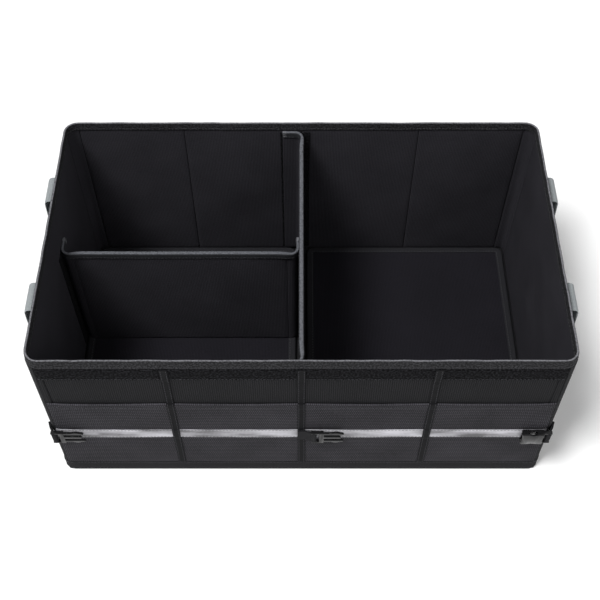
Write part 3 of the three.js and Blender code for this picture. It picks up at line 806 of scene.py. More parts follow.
@dataclass(frozen=True)
class WallShell:
    """The floor, the stiffened wall panels and the cloth gussets in the corners."""

    outline: Perimeter = WALLS
    swell: float = 0.6 * MM
    crease: float = 1.4 * MM
    thickness: float = WALL_THICKNESS
    pinch: float = 14 * MM
    board_wave: float = 0.5 * MM
    soft_wave: float = 0.9 * MM
    floor_edge: float = 0.8 * MM

    def build(self) -> None:
        """Makes the floor, the panels and the gussets."""
        self.floor()
        front, side, corner = self.outline.front, self.outline.side, self.outline.corner
        quarter = extent("front_panel_1")[1].x - extent("front_panel_1")[0].x
        folds = [0.0, quarter, front / 2, front - quarter, front]
        back_start = front + side + 2 * corner
        for i in range(4):
            self.panel(f"front_panel_{i + 1}", folds[i], folds[i + 1], i)
            self.panel(f"back_panel_{4 - i}", back_start + folds[i], back_start + folds[i + 1], 10 + i)
        self.panel("right_panel", front + corner, front + corner + side, 20)
        self.panel("left_panel", back_start + front + corner, back_start + front + corner + side, 21)
        gussets = (("front_right", front), ("back_right", front + corner + side),
                   ("back_left", back_start + front), ("front_left", self.outline.length - corner))
        for number, (where, start) in enumerate(gussets):
            self.panel(f"corner_gusset_{where}", start, start + corner, 30 + number, soft=True)

    def panel(self, node: str, start: float, end: float, seed: int, soft: bool = False) -> None:
        """Makes one stretch of wall: oxford outside, lining inside, its seams pulled in.

        Args:
            node: the CAD node that it stands for, whose name it takes.
            start: where along the outline it starts.
            end: where it ends.
            seed: picks its unevenness.
            soft: true for a gusset, which has no board and creases more.
        """
        low, high = extent(node)
        foot, top = low.z, high.z
        thickness, wave = self.thickness, self.soft_wave if soft else self.board_wave
        strip = Strip(end - start, top - foot, thickness, step=(3 if soft else 6) * MM, rows=40,
                      rim=self.crease)
        bm = strip.cut()
        for face in bm.faces:
            if face.calc_center_median().z < thickness * 0.2:
                face.material_index = 1

        def place(x: float, y: float, z: float) -> Vector:
            """Puts a point of the flat panel on the wall."""
            middle = crown(x / strip.length, y / strip.width)
            inside = 1 - z / thickness
            stand = self.swell * middle * (1 - 2 * inside)
            uneven = ripple(x, y, 55 * MM, wave, seed) * middle * (0.4 + inside)
            folds = ripple(x, y * 0.25, 14 * MM, 0.3 * MM, seed + 0.5) * middle * inside
            squeeze = 0.6 * smooth(strip.width - self.pinch, strip.width - 1 * MM, y) * (thickness / 2 - z)
            return self.outline.at(start + x, z - thickness + stand + uneven + folds + squeeze, foot + y)

        bend(bm, place)
        keep(f"{node}_cloth", bm, [Look.OXFORD, Look.LINING], (node,))

    def floor(self) -> None:
        """Makes the stiffened floor, which rests on its lower face."""
        low, high = extent("bottom_panel")
        bm = bmesh.new()
        bmesh.ops.create_cube(bm, size=1)
        bmesh.ops.scale(bm, verts=bm.verts, vec=high - low)
        bmesh.ops.translate(bm, verts=bm.verts, vec=(low + high) / 2)
        upright = [e for e in bm.edges if abs(e.verts[0].co.z - e.verts[1].co.z) > TOUCH]
        round_edges(bm, upright, self.outline.foot_radius, segments=6)
        bm.normal_update()
        round_edges(bm, sharp_edges(bm, SHARP_DEGREES), self.floor_edge)
        map_cloth(bm, height_along=True)
        keep("bottom_panel_cloth", bm, [Look.OXFORD], ("bottom_panel",))


@dataclass(frozen=True)
class Bands:
    """The tapes sewn round the walls: rim binding, foot band and corner bindings, with their stitching."""

    outline: Perimeter = WALLS
    wall: float = WALL_THICKNESS
    tape: float = 0.8 * MM
    foot_tape: float = 1.6 * MM
    inner_depth: float = 11 * MM
    pinch: float = 1.3 * MM
    rim_round: float = 1.1 * MM
    outer_seam: float = 2.4 * MM
    inner_seam: float = 2.2 * MM
    band_seam: float = 2.6 * MM
    foot_seam: float = 4 * MM
    seams: Seams = field(default_factory=Seams)

    def build(self) -> None:
        """Makes every band."""
        self.rim()
        self.foot()
        self.corners()
        self.seams.finish("band_stitching", "binding_tape")

    def rim(self) -> None:
        """Folds one tape over the whole top edge and sews it."""
        low, high = extent("rim_binding")
        outside = high.x - self.outline.half_length
        inside = -self.wall - outside
        fold = fold_line(((outside, low.z), (outside - self.pinch, high.z), (inside + self.pinch, high.z),
                          (inside, high.z - self.inner_depth)), self.rim_round)
        strip = Strip(self.outline.length, fold.length, self.tape,
                      step=5 * MM, rows=30, rim=TAPE_EDGE, closed=True)

        def place(x: float, y: float, z: float) -> Vector:
            """Puts a point of the flat tape on the rim."""
            share = x / strip.length
            wave = ring_ripple(share, 0.16, 0.45 * MM, 3.1)
            sag = ring_ripple(share, 0.3, 0.5 * MM, 8.4)
            spot = fold.place(y, 0, self.tape - z)
            return self.outline.at(x, spot.x + wave * smooth(0, 8 * MM, spot.z - low.z), spot.z + sag)

        keep("rim_binding_tape", strip.laid(place), [Look.RIM], ("rim_binding",))
        self.seams.rows(place, strip.length, (self.outer_seam, fold.length - self.inner_seam), self.tape)

    def foot(self) -> None:
        """Wraps the wide band round the foot of the walls and sews it."""
        low, high = extent("foot_band")
        out = high.x - self.outline.half_length - self.foot_tape
        strip = Strip(self.outline.length, high.z - low.z, self.foot_tape,
                      step=5 * MM, rows=8, rim=0.5 * MM, closed=True)

        def place(x: float, y: float, z: float) -> Vector:
            """Puts a point of the flat band on the walls' foot."""
            wave = ring_ripple(x / strip.length, 0.14, 0.3 * MM, 5.7, rise=y * 9)
            return self.outline.at(x, out + z + wave * smooth(0, 6 * MM, y), low.z + y)

        keep("foot_band_tape", strip.laid(place), [Look.BINDING], ("foot_band",))
        self.seams.rows(place, strip.length, (strip.width - self.band_seam, self.foot_seam), self.foot_tape)

    def corners(self) -> None:
        """Makes the upright bindings that cover the side end of each corner."""
        corner, front, side = self.outline.corner, self.outline.front, self.outline.side
        zones = {"front_left": -corner, "front_right": front, "back_right": front + side + corner,
                 "back_left": 2 * front + side + 2 * corner}
        for where, start in zones.items():
            node = f"corner_binding_{where}"
            low, high = extent(node)
            from_side = where in ("front_left", "back_right")
            turns = (0, CORNER_BINDING_DEGREES) if from_side else (90 - CORNER_BINDING_DEGREES, 90)
            strip = Strip(corner * CORNER_BINDING_DEGREES / 90, high.z - low.z, self.tape,
                          step=1.2 * MM, rows=40, rim=TAPE_EDGE)

            def place(x: float, y: float, z: float) -> Vector:
                """Puts a point of the flat tape on the corner."""
                height = low.z + y
                first, last = (self.outline.turned(turn, height) for turn in turns)
                run = start + first + (last - first) * x / strip.length
                return self.outline.at(run, SEWN_GAP + z + ripple(x, y, 30 * MM, 0.2 * MM, 2), height)

            keep(f"{node}_tape", strip.laid(place), [Look.BINDING], (node,))


@dataclass(frozen=True)
class FrontFace:
    """What is sewn on the front: the loop strip, the pocket cloth, the reflective strip and three tapes."""

    outline: Perimeter = WALLS
    bulge: float = 0.7 * MM
    loop: float = 1.4 * MM
    cloth: float = 1.2 * MM
    hem: float = 0.6 * MM
    hem_height: float = 9 * MM
    silver: float = 0.5 * MM
    silver_stand: float = 1.55 * MM
    tape_thickness: float = 0.8 * MM
    seam: float = 1.5 * MM
    loop_seam: float = 1.8 * MM
    hem_seam: float = 1.2 * MM
    climb: float = 3 * MM
    over_pocket: float = 1.5 * MM
    over_silver: float = 0.8 * MM
    over_loop: float = 1.75 * MM
    seams: Seams = field(default_factory=Seams)

    def build(self) -> None:
        """Makes the cloths of the front and their stitching."""
        self.loop_strip()
        self.pocket()
        self.reflector()
        for i, where in enumerate(("left", "centre", "right")):
            self.tape(where, (i - 1) * self.outline.half_length / 2)
        self.seams.finish("front_stitching", "binding_tape")

    def run(self, share: float, z: float) -> float:
        """The run of a point of a front cloth, from its share of the cloth's length, at a height."""
        beyond = self.outline.corner - self.outline.turned(90 - FRONT_WRAP_DEGREES, z)
        return share * (self.outline.front + 2 * beyond) - beyond

    def stand(self, run: float, z: float) -> float:
        """How far the pocket cloth stands off the wall at a point: most at the mouth, between two tapes."""
        low, high = extent("pocket_panel")
        quarter, ends, level = self.outline.half_length / 2, 12 * MM, 25 * MM
        x = run - self.outline.front / 2
        span = abs(math.sin(math.pi * x / quarter))
        inside = smooth(0, ends, self.outline.front / 2 - abs(x))
        lift = smooth(low.z + ends, high.z, z)
        slack = ripple(run, z, 60 * MM, 0.4 * MM, 6.3) * smooth(low.z, low.z + level, z)
        return (self.bulge * lift + 0.3 * MM + slack) * span ** 0.7 * inside

    def wrapped(self, node: str, thickness: float, rows: int) -> tuple[Strip, float]:
        """Sizes a cloth that runs along the front and round both corners.

        Args:
            node: the CAD node that it stands for.
            thickness: the cloth's thickness.
            rows: rows of faces across it.

        Returns:
            The flat strip and its lowest height.
        """
        low, high = extent(node)
        length = self.run(1, low.z) - self.run(0, low.z)
        edge = min(0.3 * MM, thickness * 0.4)
        return Strip(length, high.z - low.z, thickness, step=5 * MM, rows=rows, rim=edge), low.z

    def loop_strip(self) -> None:
        """Makes the fuzzy strip under the rim and sews it."""
        strip, foot = self.wrapped("front_loop_strip", self.loop, 12)

        def place(x: float, y: float, z: float) -> Vector:
            """Puts a point of the flat strip on the wall."""
            pile = ripple(x, y, 2.2 * MM, 0.18 * MM, 1.7) * z / strip.thickness
            edge = crown(0.5, y / strip.width)
            run = self.run(x / strip.length, foot + y)
            return self.outline.at(run, SEWN_GAP + z * (0.55 + 0.45 * edge) + pile, foot + y)

        keep("front_loop_strip_pile", strip.laid(place), [Look.LOOP], ("front_loop_strip",),
             crease=PILE_CREASE)
        self.seams.rows(place, strip.length, (self.loop_seam,), strip.thickness)

    def pocket(self) -> None:
        """Makes the pocket cloth with its turned hem."""
        strip, foot = self.wrapped("pocket_panel", self.cloth, 40)
        hem_foot = strip.width - self.hem_height

        def place(x: float, y: float, z: float) -> Vector:
            """Puts a point of the flat cloth on the wall."""
            run, height = self.run(x / strip.length, foot + y), foot + y
            thicker = self.hem * smooth(hem_foot - 1 * MM, hem_foot, y) * z / self.cloth
            return self.outline.at(run, SEWN_GAP + self.stand(run, height) + z + thicker, height)

        made = keep("pocket_cloth", strip.laid(place), [Look.POCKET], ("pocket_panel",))
        self.seams.rows(place, strip.length, (hem_foot + self.hem_seam,), self.cloth)

    def reflector(self) -> None:
        """Makes the reflective strip, which follows the pocket cloth."""
        strip, foot = self.wrapped("reflective_strip", self.silver, 6)

        def place(x: float, y: float, z: float) -> Vector:
            """Puts a point of the flat strip on the pocket cloth."""
            run, height = self.run(x / strip.length, foot + y), foot + y
            return self.outline.at(run, self.silver_stand + self.stand(run, height) + z, height)

        keep("reflective_strip_tape", strip.laid(place), [Look.SILVER], ("reflective_strip",))
        self.seams.rows(place, strip.length, (self.seam, strip.width - self.seam), strip.thickness)

    def tape(self, where: str, x_middle: float) -> None:
        """Makes an upright tape, which dips and climbs over the layers below it.

        Args:
            where: left, centre or right.
            x_middle: its place along the front.
        """
        node = f"front_tape_{where}"
        low, high = extent(node)
        loop_foot = extent("front_loop_strip")[0].z
        mouth = extent("pocket_panel")[1].z
        hem_foot = mouth - self.hem_height
        silver_low, silver_high = (corner.z for corner in extent("reflective_strip"))
        strip = Strip(high.z - low.z, high.x - low.x, self.tape_thickness,
                      step=2 * MM, rows=6, rim=TAPE_EDGE)

        def layers(z: float) -> float:
            """The face of what the tape lies on at a height."""
            climb = self.climb
            pocket = self.over_pocket * smooth(mouth + climb, mouth, z)
            hem = self.hem * (smooth(hem_foot - climb, hem_foot, z) - smooth(mouth, mouth + climb, z))
            silver = smooth(silver_low - climb, silver_low, z) * smooth(silver_high + climb, silver_high, z)
            return max(pocket + hem + self.over_silver * silver,
                       self.over_loop * smooth(loop_foot - climb, loop_foot, z))

        def place(x: float, y: float, z: float) -> Vector:
            """Puts a point of the flat tape on the front."""
            height = low.z + x
            wander = ripple(x, 0, 60 * MM, 0.35 * MM, x_middle * 40)
            run = self.outline.front / 2 + x_middle + y - strip.width / 2 + wander
            return self.outline.at(run, layers(height) + SEWN_GAP + z, height)

        keep(f"{node}_cloth", strip.laid(place), [Look.FRONT_TAPE], (node,))
        self.seams.rows(place, strip.length, (self.seam, strip.width - self.seam), strip.thickness)


# Inside

@dataclass(frozen=True)
class BaseBoard:
    """A loose covered board with a bound edge."""

    where: str
    radius: float = 10 * MM
    tape: float = 0.8 * MM
    lip: float = 9 * MM
    fold_round: float = 2.4 * MM
    seam: float = 2 * MM
    seams: Seams = field(default_factory=Seams)

    def build(self) -> None:
        """Makes the board, its binding and its stitches."""
        low, high = extent(f"base_board_{self.where}")
        self.board(low, high)
        self.binding(low, high)
        self.seams.finish(f"base_board_stitching_{self.where}", "binding_tape")

    def board(self, low: Vector, high: Vector) -> None:
        """Makes the covered board, a little crowned by its cloth.

        Args:
            low: the board's lowest corner.
            high: its highest corner.
        """
        strip = Strip(high.x - low.x, high.y - low.y, high.z - low.z, step=6 * MM, rows=52, rim=0.6 * MM)
        flat_x, flat_y = strip.length / 2 - self.radius, strip.width / 2 - self.radius

        def place(x: float, y: float, z: float) -> Vector:
            """Rounds the corners in plan and crowns the top."""
            px, py = x - strip.length / 2, y - strip.width / 2
            over_x, over_y = abs(px) - flat_x, abs(py) - flat_y
            if over_x > 0 and over_y > 0:
                shrink = max(over_x, over_y) / math.hypot(over_x, over_y)
                px = math.copysign(flat_x + over_x * shrink, px)
                py = math.copysign(flat_y + over_y * shrink, py)
            middle = crown(x / strip.length, y / strip.width) * z / strip.thickness
            stand = (0.5 * MM + ripple(x, y, 45 * MM, 0.5 * MM, 4.2)) * middle
            return Vector((px + (low.x + high.x) / 2, py + (low.y + high.y) / 2, low.z + z + stand))

        node = f"base_board_{self.where}"
        keep(f"{node}_cloth", strip.laid(place), [Look.BOARD], (node,))

    def binding(self, low: Vector, high: Vector) -> None:
        """Folds a tape round the board's edge and sews it down.

        Args:
            low: the board's lowest corner.
            high: its highest corner.
        """
        node = f"base_board_binding_{self.where}"
        bound_low, bound_high = extent(node)
        under, over, out = bound_low.z, bound_high.z, bound_high.y - high.y
        size = high - low
        outline = Perimeter(size.x / 2, size.y / 2, self.radius, self.radius, height=1.0,
                            centre_x=(low.x + high.x) / 2)
        fold = fold_line(((-self.lip, under), (out, under), (out, over), (-self.lip, over)), self.fold_round)
        strip = Strip(outline.length, fold.length, self.tape,
                      step=5 * MM, rows=20, rim=TAPE_EDGE, closed=True)

        def place(x: float, y: float, z: float) -> Vector:
            """Puts a point of the flat tape round the board's edge."""
            spot = fold.place(y, 0, self.tape - z)
            return outline.at(x, spot.x, spot.z)

        keep(f"{node}_tape", strip.laid(place), [Look.BOARD_TAPE], (node,))
        self.seams.rows(place, strip.length, (strip.width - self.seam,), self.tape)


@dataclass(frozen=True)
class Divider:
    """A stiff divider whose ends are soft tabs that bend along a wall and hold on to a loop strip.

    It is laid out along its own Y with both tabs turning to -X, then put in place by settle.
    """

    name: str
    ends: tuple[str, str]
    half: float
    reach: float
    foot: float
    top: float
    settle: Callable[[Vector], Vector]
    thickness: float = 3.4 * MM
    swell: float = 0.35 * MM
    tab: float = 1.8 * MM
    tab_length: float = 25 * MM
    tab_start: float = 12 * MM
    tab_drop: float = 1.2 * MM
    loop: float = 1.2 * MM
    bend_radius: float = 9 * MM
    tape: float = 0.8 * MM
    tape_depth: float = 9 * MM
    tape_round: float = 1.7 * MM
    seam: float = 1.6 * MM
    tack_rows: int = 4
    tack_gap: float = 1.1 * MM
    tack_pitch: float = 2.4 * MM
    tack_edge: float = 1.2 * MM

    def build(self) -> None:
        """Makes the panel, the tabs, the edge tape and its stitches."""
        self.panel()
        line = self.line()
        tab_run = (line.length - 2 * self.half) / 2
        for name, start in zip(self.ends, (0.0, line.length - tab_run)):
            self.make_tab(name, line, start, tab_run)
        self.edge_tape(line, tab_run)

    def line(self) -> Route:
        """The plan line of the tabs and the panel between them."""
        lay = self.reach - (SEWN_GAP + self.loop + SEWN_GAP + self.tab / 2)
        shift = self.thickness / 2 - self.tab / 2
        half = [Vector((0, self.half - self.tab_start, 0)), Vector((shift, self.half, 0))]
        steps = 12
        for step in range(steps + 1):
            turn = math.radians(90 * step / steps)
            half.append(Vector((shift - self.bend_radius * (1 - math.cos(turn)),
                                lay - self.bend_radius * (1 - math.sin(turn)), 0)))
        half.append(Vector((shift - self.tab_length, lay, 0)))
        other = [Vector((p.x, -p.y, 0)) for p in reversed(half)]
        return Route([*other, *half], [Vector((0, 0, 1))])

    def panel(self) -> None:
        """Makes the stiff covered panel."""
        strip = Strip(2 * self.half, self.top - self.foot, self.thickness,
                      step=6 * MM, rows=42, rim=0.8 * MM)

        def place(x: float, y: float, z: float) -> Vector:
            """Stands the flat panel up and lets its cloth swell."""
            middle = crown(x / strip.length, y / strip.width)
            side = 2 * z / self.thickness - 1
            stand = self.swell * middle * side + ripple(x, y, 70 * MM, 0.45 * MM, self.top * 50) * middle
            return self.settle(Vector((z - self.thickness / 2 + stand, x - self.half, self.foot + y)))

        keep(f"{self.name}_panel_cloth", strip.laid(place), [Look.LINING],
             (f"{self.name}_panel",))

    def make_tab(self, node: str, line: Route, start: float, run: float) -> None:
        """Makes a bent tab.

        Args:
            node: the CAD node that it stands for.
            line: the plan line.
            start: where on the line the tab starts.
            run: how long it is along the line.
        """
        foot = extent(node)[0].z
        strip = Strip(run, self.top - foot - self.tab_drop, self.tab, step=1.5 * MM, rows=40, rim=0.5 * MM)

        def place(x: float, y: float, z: float) -> Vector:
            """Bends the flat tab along the line."""
            uneven = ripple(x, y, 40 * MM, 0.3 * MM, 9.9)
            return self.settle(line.place(start + x, foot + y, z - self.tab / 2 + uneven))

        keep(f"{node}_cloth", strip.laid(place), [Look.LINING], (node,))

    def edge_tape(self, line: Route, tab_run: float) -> None:
        """Folds the edge tape, with its painted highlight along the top, over the top of the panel and both
        tabs.

        Args:
            line: the plan line.
            tab_run: how much of the line each tab takes.
        """
        half_wide = self.thickness / 2 + SEWN_GAP + self.tape
        half_slim = self.tab / 2 + SEWN_GAP + self.tape
        over = self.top + SEWN_GAP + self.tape
        under = over - self.tape_depth
        fold = fold_line(((-half_wide, under), (-half_wide, over), (half_wide, over), (half_wide, under)),
                         self.tape_round)
        strip = Strip(line.length, fold.length, self.tape, step=3 * MM, rows=22, rim=TAPE_EDGE)

        def place(x: float, y: float, z: float) -> Vector:
            """Puts a point of the flat tape over the top edge."""
            spot = fold.place(y, 0, z - self.tape)
            from_end = min(x, line.length - x)
            on_panel = smooth(tab_run - 6 * MM, tab_run + 4 * MM, from_end)
            squeeze = (half_slim + (half_wide - half_slim) * on_panel) / half_wide
            dip = 0.6 * MM * (1 - on_panel) + ripple(x, 0, 90 * MM, 0.4 * MM, self.half * 70)
            return self.settle(line.place(x, spot.z - dip, spot.x * squeeze))

        keep(f"{self.name}_edge_tape", strip.laid(place), [Look.EDGE], (f"{self.name}_binding",))
        seams = Seams()
        seams.rows(place, strip.length, (self.seam, strip.width - self.seam), self.tape)
        seams.finish(f"{self.name}_stitching", "edge_tape")
        tack = bmesh.new()
        across = StitchRow(strip.width - 2 * self.tack_edge, pitch=self.tack_pitch)
        for end, way in ((self.tack_edge, 1), (line.length - self.tack_edge, -1)):
            for number in range(self.tack_rows):
                run = end + way * number * self.tack_gap
                across.sew(tack, lambda x, y, z: place(run + y, self.tack_edge + x, self.tape + z))
        keep(f"{self.name}_end_tacks", tack, [Look.TACK])


def loop_strip(node: str) -> None:
    """Makes a fuzzy upright strip that a tab holds on to. On the back wall, the dark strip showing on both
    sides of the tab also stands in for painted shade in the crevice between the tab and the wall.

    Args:
        node: the CAD node that it stands for, which gives its place.
    """
    low, high = extent(node)
    size = high - low
    flat_in_y = size.x > size.y
    width, thickness = (size.x, size.y) if flat_in_y else (size.y, size.x)
    strip = Strip(size.z, width, thickness, step=4 * MM, rows=12, rim=0.35 * MM)
    faces_minus = low.y > 0 if flat_in_y else high.x > extent("left_panel")[1].x / 2

    def place(x: float, y: float, z: float) -> Vector:
        """Stands the flat strip on its wall."""
        off = z + ripple(x, y, 2.4 * MM, 0.15 * MM, 7.7) * z / thickness
        if flat_in_y:
            return Vector((low.x + y, high.y - off if faces_minus else low.y + off, low.z + x))
        return Vector((high.x - off if faces_minus else low.x + off, low.y + y, low.z + x))

    keep(f"{node}_pile", strip.laid(place), [Look.LOOP], (node,), crease=PILE_CREASE)


# Handles

@dataclass(frozen=True)
class Handle:
    """A webbing handle: both ends sewn to the side wall, folded over and hanging as a loop."""

    side: int
    width: float = 38 * MM
    thickness: float = 1.6 * MM
    foot: float = 24 * MM
    bend_radius: float = 46 * MM
    bow: float = 0.8 * MM
    lean: float = 1.2 * MM
    margin: float = 3 * MM
    end_margin: float = 2 * MM
    fold_steps: int = 16
    hang_steps: int = 6
    bend_steps: int = 24

    @property
    def fold(self) -> float:
        """The radius of the fold at the top, from the room that the CAD handle takes."""
        low, high = extent("handle_right")
        return (high.x - low.x - self.thickness) / 2

    def half_line(self, low: Vector, high: Vector) -> list[tuple[Vector, Vector]]:
        """Half of the strap's line, from a sewn end to the middle of the loop, with its width's direction.

        Args:
            low: the lowest corner of the right handle's CAD node.
            high: its highest corner.

        Returns:
            Points and directions, for the handle on the right.
        """
        end = high.y - self.width / 2
        sewn = low.x + self.thickness / 2
        hang = high.x - self.thickness / 2
        middle = high.z - self.thickness / 2 - self.fold
        bottom = low.z + self.width / 2
        level = Vector((0, 1, 0))
        line = [(Vector((sewn, end, middle - self.foot * share)), level) for share in (1, 0.66, 0.33)]
        for step in range(self.fold_steps + 1):
            turn = math.pi * step / self.fold_steps
            spot = (sewn + self.fold * (1 - math.cos(turn)), end, middle + self.fold * math.sin(turn))
            line.append((Vector(spot), level))
        start = bottom + self.bend_radius
        for step in range(1, self.hang_steps):
            share = step / self.hang_steps
            out = hang + self.bow * math.sin(math.pi * share)
            line.append((Vector((out, end, middle + (start - middle) * share)), level))
        for step in range(self.bend_steps + 1):
            turn = math.pi / 2 * step / self.bend_steps
            across = Vector((0, math.cos(turn), -math.sin(turn)))
            spot = (hang - self.lean * math.sin(turn), end - self.bend_radius * (1 - math.cos(turn)),
                    bottom + self.bend_radius * (1 - math.sin(turn)))
            line.append((Vector(spot), across))
        return line

    def build(self) -> None:
        """Makes the strap and the stitches on its sewn ends."""
        name = "handle_right" if self.side > 0 else "handle_left"
        low, high = extent("handle_right")
        half = self.half_line(low, high)
        other = [(Vector((p.x, -p.y, p.z)), Vector((0, -a.y, a.z))) for p, a in reversed(half)]
        stations = [*half, *other]
        route = Route([p for p, _ in stations], [a for _, a in stations])
        strip = Strip(route.length, self.width, self.thickness, step=2.5 * MM, rows=16, rim=0.6 * MM)

        def place(x: float, y: float, z: float) -> Vector:
            """Bends the flat strap along its line."""
            edge = abs(2 * y / self.width - 1)
            thin = 1 - 0.25 * smooth(0.86, 1, edge)
            spot = route.place(x, y - self.width / 2, (z - self.thickness / 2) * thin)
            return Vector((spot.x * self.side, spot.y, spot.z))

        keep(f"{name}_strap", strip.laid(place), [Look.HANDLE], (name,))
        seams = Seams()
        length, width = self.foot - 2 * self.end_margin, self.width - 2 * self.margin
        diagonal, slope = math.hypot(length, width), width / length
        for start in (self.end_margin, route.length - self.end_margin - length):
            for edge in (self.margin, self.width - self.margin):
                for top in (-0.1 * MM, self.thickness):
                    seams.rows(place, length, (edge,), top, start)
            for sign in (1, -1):
                StitchRow(diagonal).sew(seams.mesh, lambda x, y, z: place(
                    start + x * length / diagonal,
                    self.width / 2 + sign * (x * length / diagonal - length / 2) * slope + y,
                    self.thickness + z))
        seams.finish(f"{name}_stitching", "grey_webbing")


# Buckles

@dataclass(frozen=True)
class BuckleLoop:
    """Black webbing folded round a buckle's bar and sewn to the front."""

    where: str
    path: tuple[tuple[float, float], ...]
    mirrored: bool = False
    layer: float = 1.15 * MM
    lap: float = 0.52
    bar: float = 1.7 * MM
    play: float = 0.4 * MM
    neck: float = 1.25
    neck_round: float = 5 * MM
    ring_degrees: float = 300
    ring_steps: int = 16

    def build(self) -> None:
        """Makes the folded strap."""
        node = f"buckle_loop_{self.where}"
        low, high = extent(node)
        knots = [Vector((x, y, 0)) for x, y in self.path]
        eye, before = knots[-1], knots[-2]
        heading = math.atan2(eye.y - before.y, eye.x - before.x)
        radius = self.bar + self.play + self.layer / 2
        way = Vector((math.cos(heading), math.sin(heading), 0))
        off = Vector((-way.y, way.x, 0)) * self.layer * self.lap
        spine = rounded([*knots[:-1], eye - way * radius * self.neck], self.neck_round, 8)
        outward = [p + off for p in spine]
        ring = []
        for step in range(self.ring_steps + 1):
            turn = heading + math.radians(self.ring_degrees * (0.5 - step / self.ring_steps))
            ring.append(eye + Vector((math.cos(turn), math.sin(turn), 0)) * radius)
        route = Route([*outward, *ring, *(p - off for p in reversed(spine))], [Vector((0, 0, 1))])
        strip = Strip(route.length, high.z - low.z, self.layer, step=0.9 * MM, rows=10, rim=0.35 * MM)

        def place(x: float, y: float, z: float) -> Vector:
            """Bends the flat webbing along its line."""
            spot = route.place(x, low.z + y, z - self.layer / 2)
            return Vector((-spot.x if self.mirrored else spot.x, spot.y, spot.z))

        keep(f"{node}_webbing", strip.laid(place), [Look.STRAP], (node,))


@dataclass(frozen=True)
class Moulding:
    """A moulded buckle half, with the eased edges of its mould."""

    node: str
    body: str
    ease: float = 0.35 * MM
    sharp: float = 35.0

    def build(self) -> None:
        """Rounds the edges of the half's solid and gives it its glossy plastic."""
        bm = bmesh.new()
        bm.from_mesh(frame["nodes"][self.node].data)
        bmesh.ops.remove_doubles(bm, verts=bm.verts, dist=0.005 * MM)
        bmesh.ops.dissolve_limit(bm, angle_limit=math.radians(1), verts=bm.verts, edges=bm.edges)
        bm.normal_update()
        round_edges(bm, sharp_edges(bm, self.sharp), self.ease, clamp=True)
        keep(f"{self.node}_moulding", bm, [Look.PLASTIC], (self.node,), self.body)


# Studio

@dataclass(frozen=True)
class Studio:
    """The pale floor, the soft lamps and the camera."""

    camera_height: float = 1.2177
    camera_back: float = 0.7234
    pitch_down: float = 54.45
    focal_pixels: float = 1019.7
    image: float = 600.0
    middle: tuple[float, float] = (301.4, 263.7)
    sensor: float = 36.0
    floor_half: float = 12.0
    floor_drop: float = 0.2 * MM
    paper: float = 0.95
    floor_glow: float = 0.05
    sky: float = 0.22
    seen_sky: float = 0.78
    aim: float = 0.1

    def build(self) -> None:
        """Sets the view and makes the floor, the lamps, the world and the camera."""
        bpy.context.scene.view_settings.view_transform = "Standard"
        self.floor()
        self.world()
        self.lamp("key", at=Vector((-2.0, -1.4, 5.6)), size=1.7, power=375)
        self.lamp("fill", at=Vector((3.5, -2.75, 5.0)), size=4.0, power=100)
        self.camera()

    def floor(self) -> None:
        """Makes the floor, which looks white and still takes the box's shadow."""
        bm = bmesh.new()
        bmesh.ops.create_grid(bm, x_segments=1, y_segments=1, size=self.floor_half)
        mesh = bpy.data.meshes.new("floor")
        bm.to_mesh(mesh)
        bm.free()
        made = add_object("floor", mesh)
        made.location.z = -self.floor_drop
        material = bpy.data.materials.new("floor")
        material.use_nodes = True
        bench = Bench(material.node_tree)
        bench.fill(material.node_tree.nodes["Principled BSDF"], Base_Color=shade(WHITE, self.paper),
                   Roughness=0.9, Specular_IOR_Level=0.1, Emission_Color=WHITE,
                   Emission_Strength=bench.times(self.seen(bench), self.floor_glow))
        mesh.materials.append(material)

    def seen(self, bench: Bench) -> NodeSocket:
        """A socket that is 1 for camera, glossy and transmission rays."""
        path = bench.node("LightPath")
        rays = [path.outputs[f"Is {kind} Ray"] for kind in ("Camera", "Glossy", "Transmission")]
        return bench.math("MAXIMUM", rays[0], bench.math("MAXIMUM", rays[1], rays[2]))

    def world(self) -> None:
        """Makes the soft white surroundings."""
        world = bpy.data.worlds.new("studio")
        bpy.context.scene.world = world
        world.use_nodes = True
        bench = Bench(world.node_tree)
        bench.fill(world.node_tree.nodes["Background"], Color=WHITE,
                   Strength=bench.scaled(self.seen(bench), self.seen_sky, self.sky))

    def lamp(self, name: str, at: Vector, size: float, power: float) -> None:
        """Adds a square soft lamp that faces the box.

        Args:
            name: the lamp's name.
            at: its place.
            size: the length of its side.
            power: its strength in watts.
        """
        data = bpy.data.lights.new(name, "AREA")
        data.size = size
        data.energy = power
        made = add_object(name, data)
        made.location = at
        made.rotation_euler = (Vector((0, 0, self.aim)) - at).to_track_quat("-Z", "Y").to_euler()

    def camera(self) -> None:
        """Puts the camera where the photograph was taken."""
        data = bpy.data.cameras.new("camera")
        data.sensor_width = self.sensor
        data.lens = self.focal_pixels / self.image * self.sensor
        data.shift_x = (self.image / 2 - self.middle[0]) / self.image
        data.shift_y = (self.middle[1] - self.image / 2) / self.image
        made = add_object("camera", data)
        made.location = (0, -self.camera_back, self.camera_height)
        made.rotation_euler = (math.radians(90 - self.pitch_down), 0, 0)
        bpy.context.scene.camera = made


# How far into the corner each station of a corner loop is, in degrees, and how far off the wall
CORNER_LOOP_STATIONS = ((12, 2.6 * MM), (27, 2.6 * MM), (42, 3.8 * MM))
CENTRE_LOOP_STAND = 1.5 * MM


def joint_place(name: str) -> tuple[float, float, float]:
    """Where a joint is."""
    return tuple(next(joint for joint in frame["joints"] if joint["name"] == name)["pos_m"])


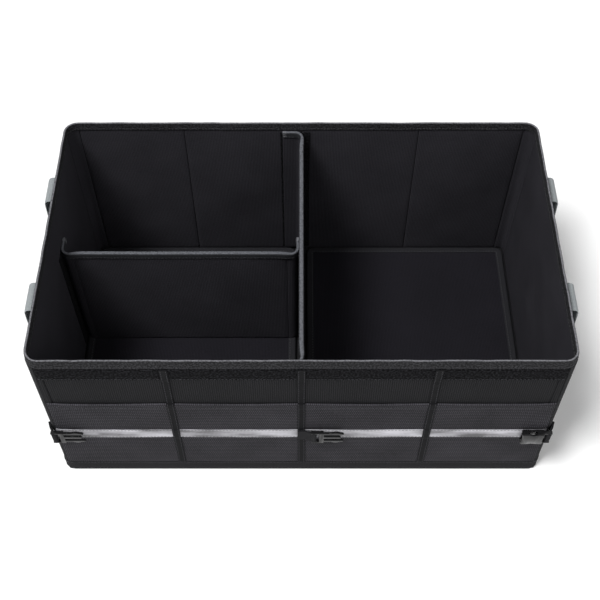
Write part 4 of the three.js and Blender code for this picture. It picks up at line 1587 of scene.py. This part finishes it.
def corner_loop_path() -> tuple[tuple[float, float], ...]:
    """The plan line of a corner loop: sewn round the front left corner, then out to the buckle's bar."""
    *eye, height = joint_place("buckle_left_swing")
    start = WALLS.length - WALLS.corner
    sewn = [WALLS.at(start + WALLS.turned(turn, height), out, height) for turn, out in CORNER_LOOP_STATIONS]
    return (*((p.x, p.y) for p in sewn), tuple(eye))


def centre_loop_path() -> tuple[tuple[float, float], ...]:
    """The plan line of the centre loop: sewn on the centre tape, then out to the buckle's bar."""
    low, high = extent("front_tape_centre")
    face, half = low.y - CENTRE_LOOP_STAND, (high.x - low.x) / 2
    return ((-half, face), (0.0, face), (half, face), joint_place("buckle_centre_swing")[:2])


def cross_place(point: Vector) -> Vector:
    """Turns the cross divider from its own lay-out into the left half of the box."""
    left, right = extent("left_panel")[1].x, extent("main_divider_panel")[0].x
    panel_low, panel_high = extent("cross_divider_panel")
    return Vector(((left + right) / 2 + point.y, (panel_low.y + panel_high.y) / 2 - point.x, point.z))


def main() -> None:
    """Builds the box piece by piece, then the studio."""
    logging.basicConfig(level=logging.INFO, format="%(message)s")
    WallShell().build()
    Bands().build()
    FrontFace().build()
    for where in ("left", "right"):
        BaseBoard(where).build()
    main_low, main_high = extent("main_divider_panel")
    Divider("main_divider", ("main_divider_tab_front", "main_divider_tab_rear"), half=main_high.y,
            reach=extent("back_panel_1")[0].y, foot=main_low.z, top=main_high.z, settle=lambda p: p).build()
    cross_low, cross_high = extent("cross_divider_panel")
    Divider("cross_divider", ("cross_divider_tab_left", "cross_divider_tab_right"),
            half=(cross_high.x - cross_low.x) / 2, reach=(main_low.x - extent("left_panel")[1].x) / 2,
            foot=cross_low.z, top=cross_high.z, settle=cross_place).build()
    for where in ("back_wall", "front_wall", "left_wall", "main_divider"):
        loop_strip(f"loop_strip_{where}")
    for side in (-1, 1):
        Handle(side).build()
    BuckleLoop("left", corner_loop_path()).build()
    BuckleLoop("right", corner_loop_path(), mirrored=True).build()
    BuckleLoop("centre", centre_loop_path()).build()
    for node, body in (("buckle_arms_left", "buckle_left"), ("buckle_arms_centre", "buckle_centre"),
                       ("buckle_socket_right", "buckle_right")):
        Moulding(node, body).build()
    Studio().build()


if __name__ == "__main__":
    main()
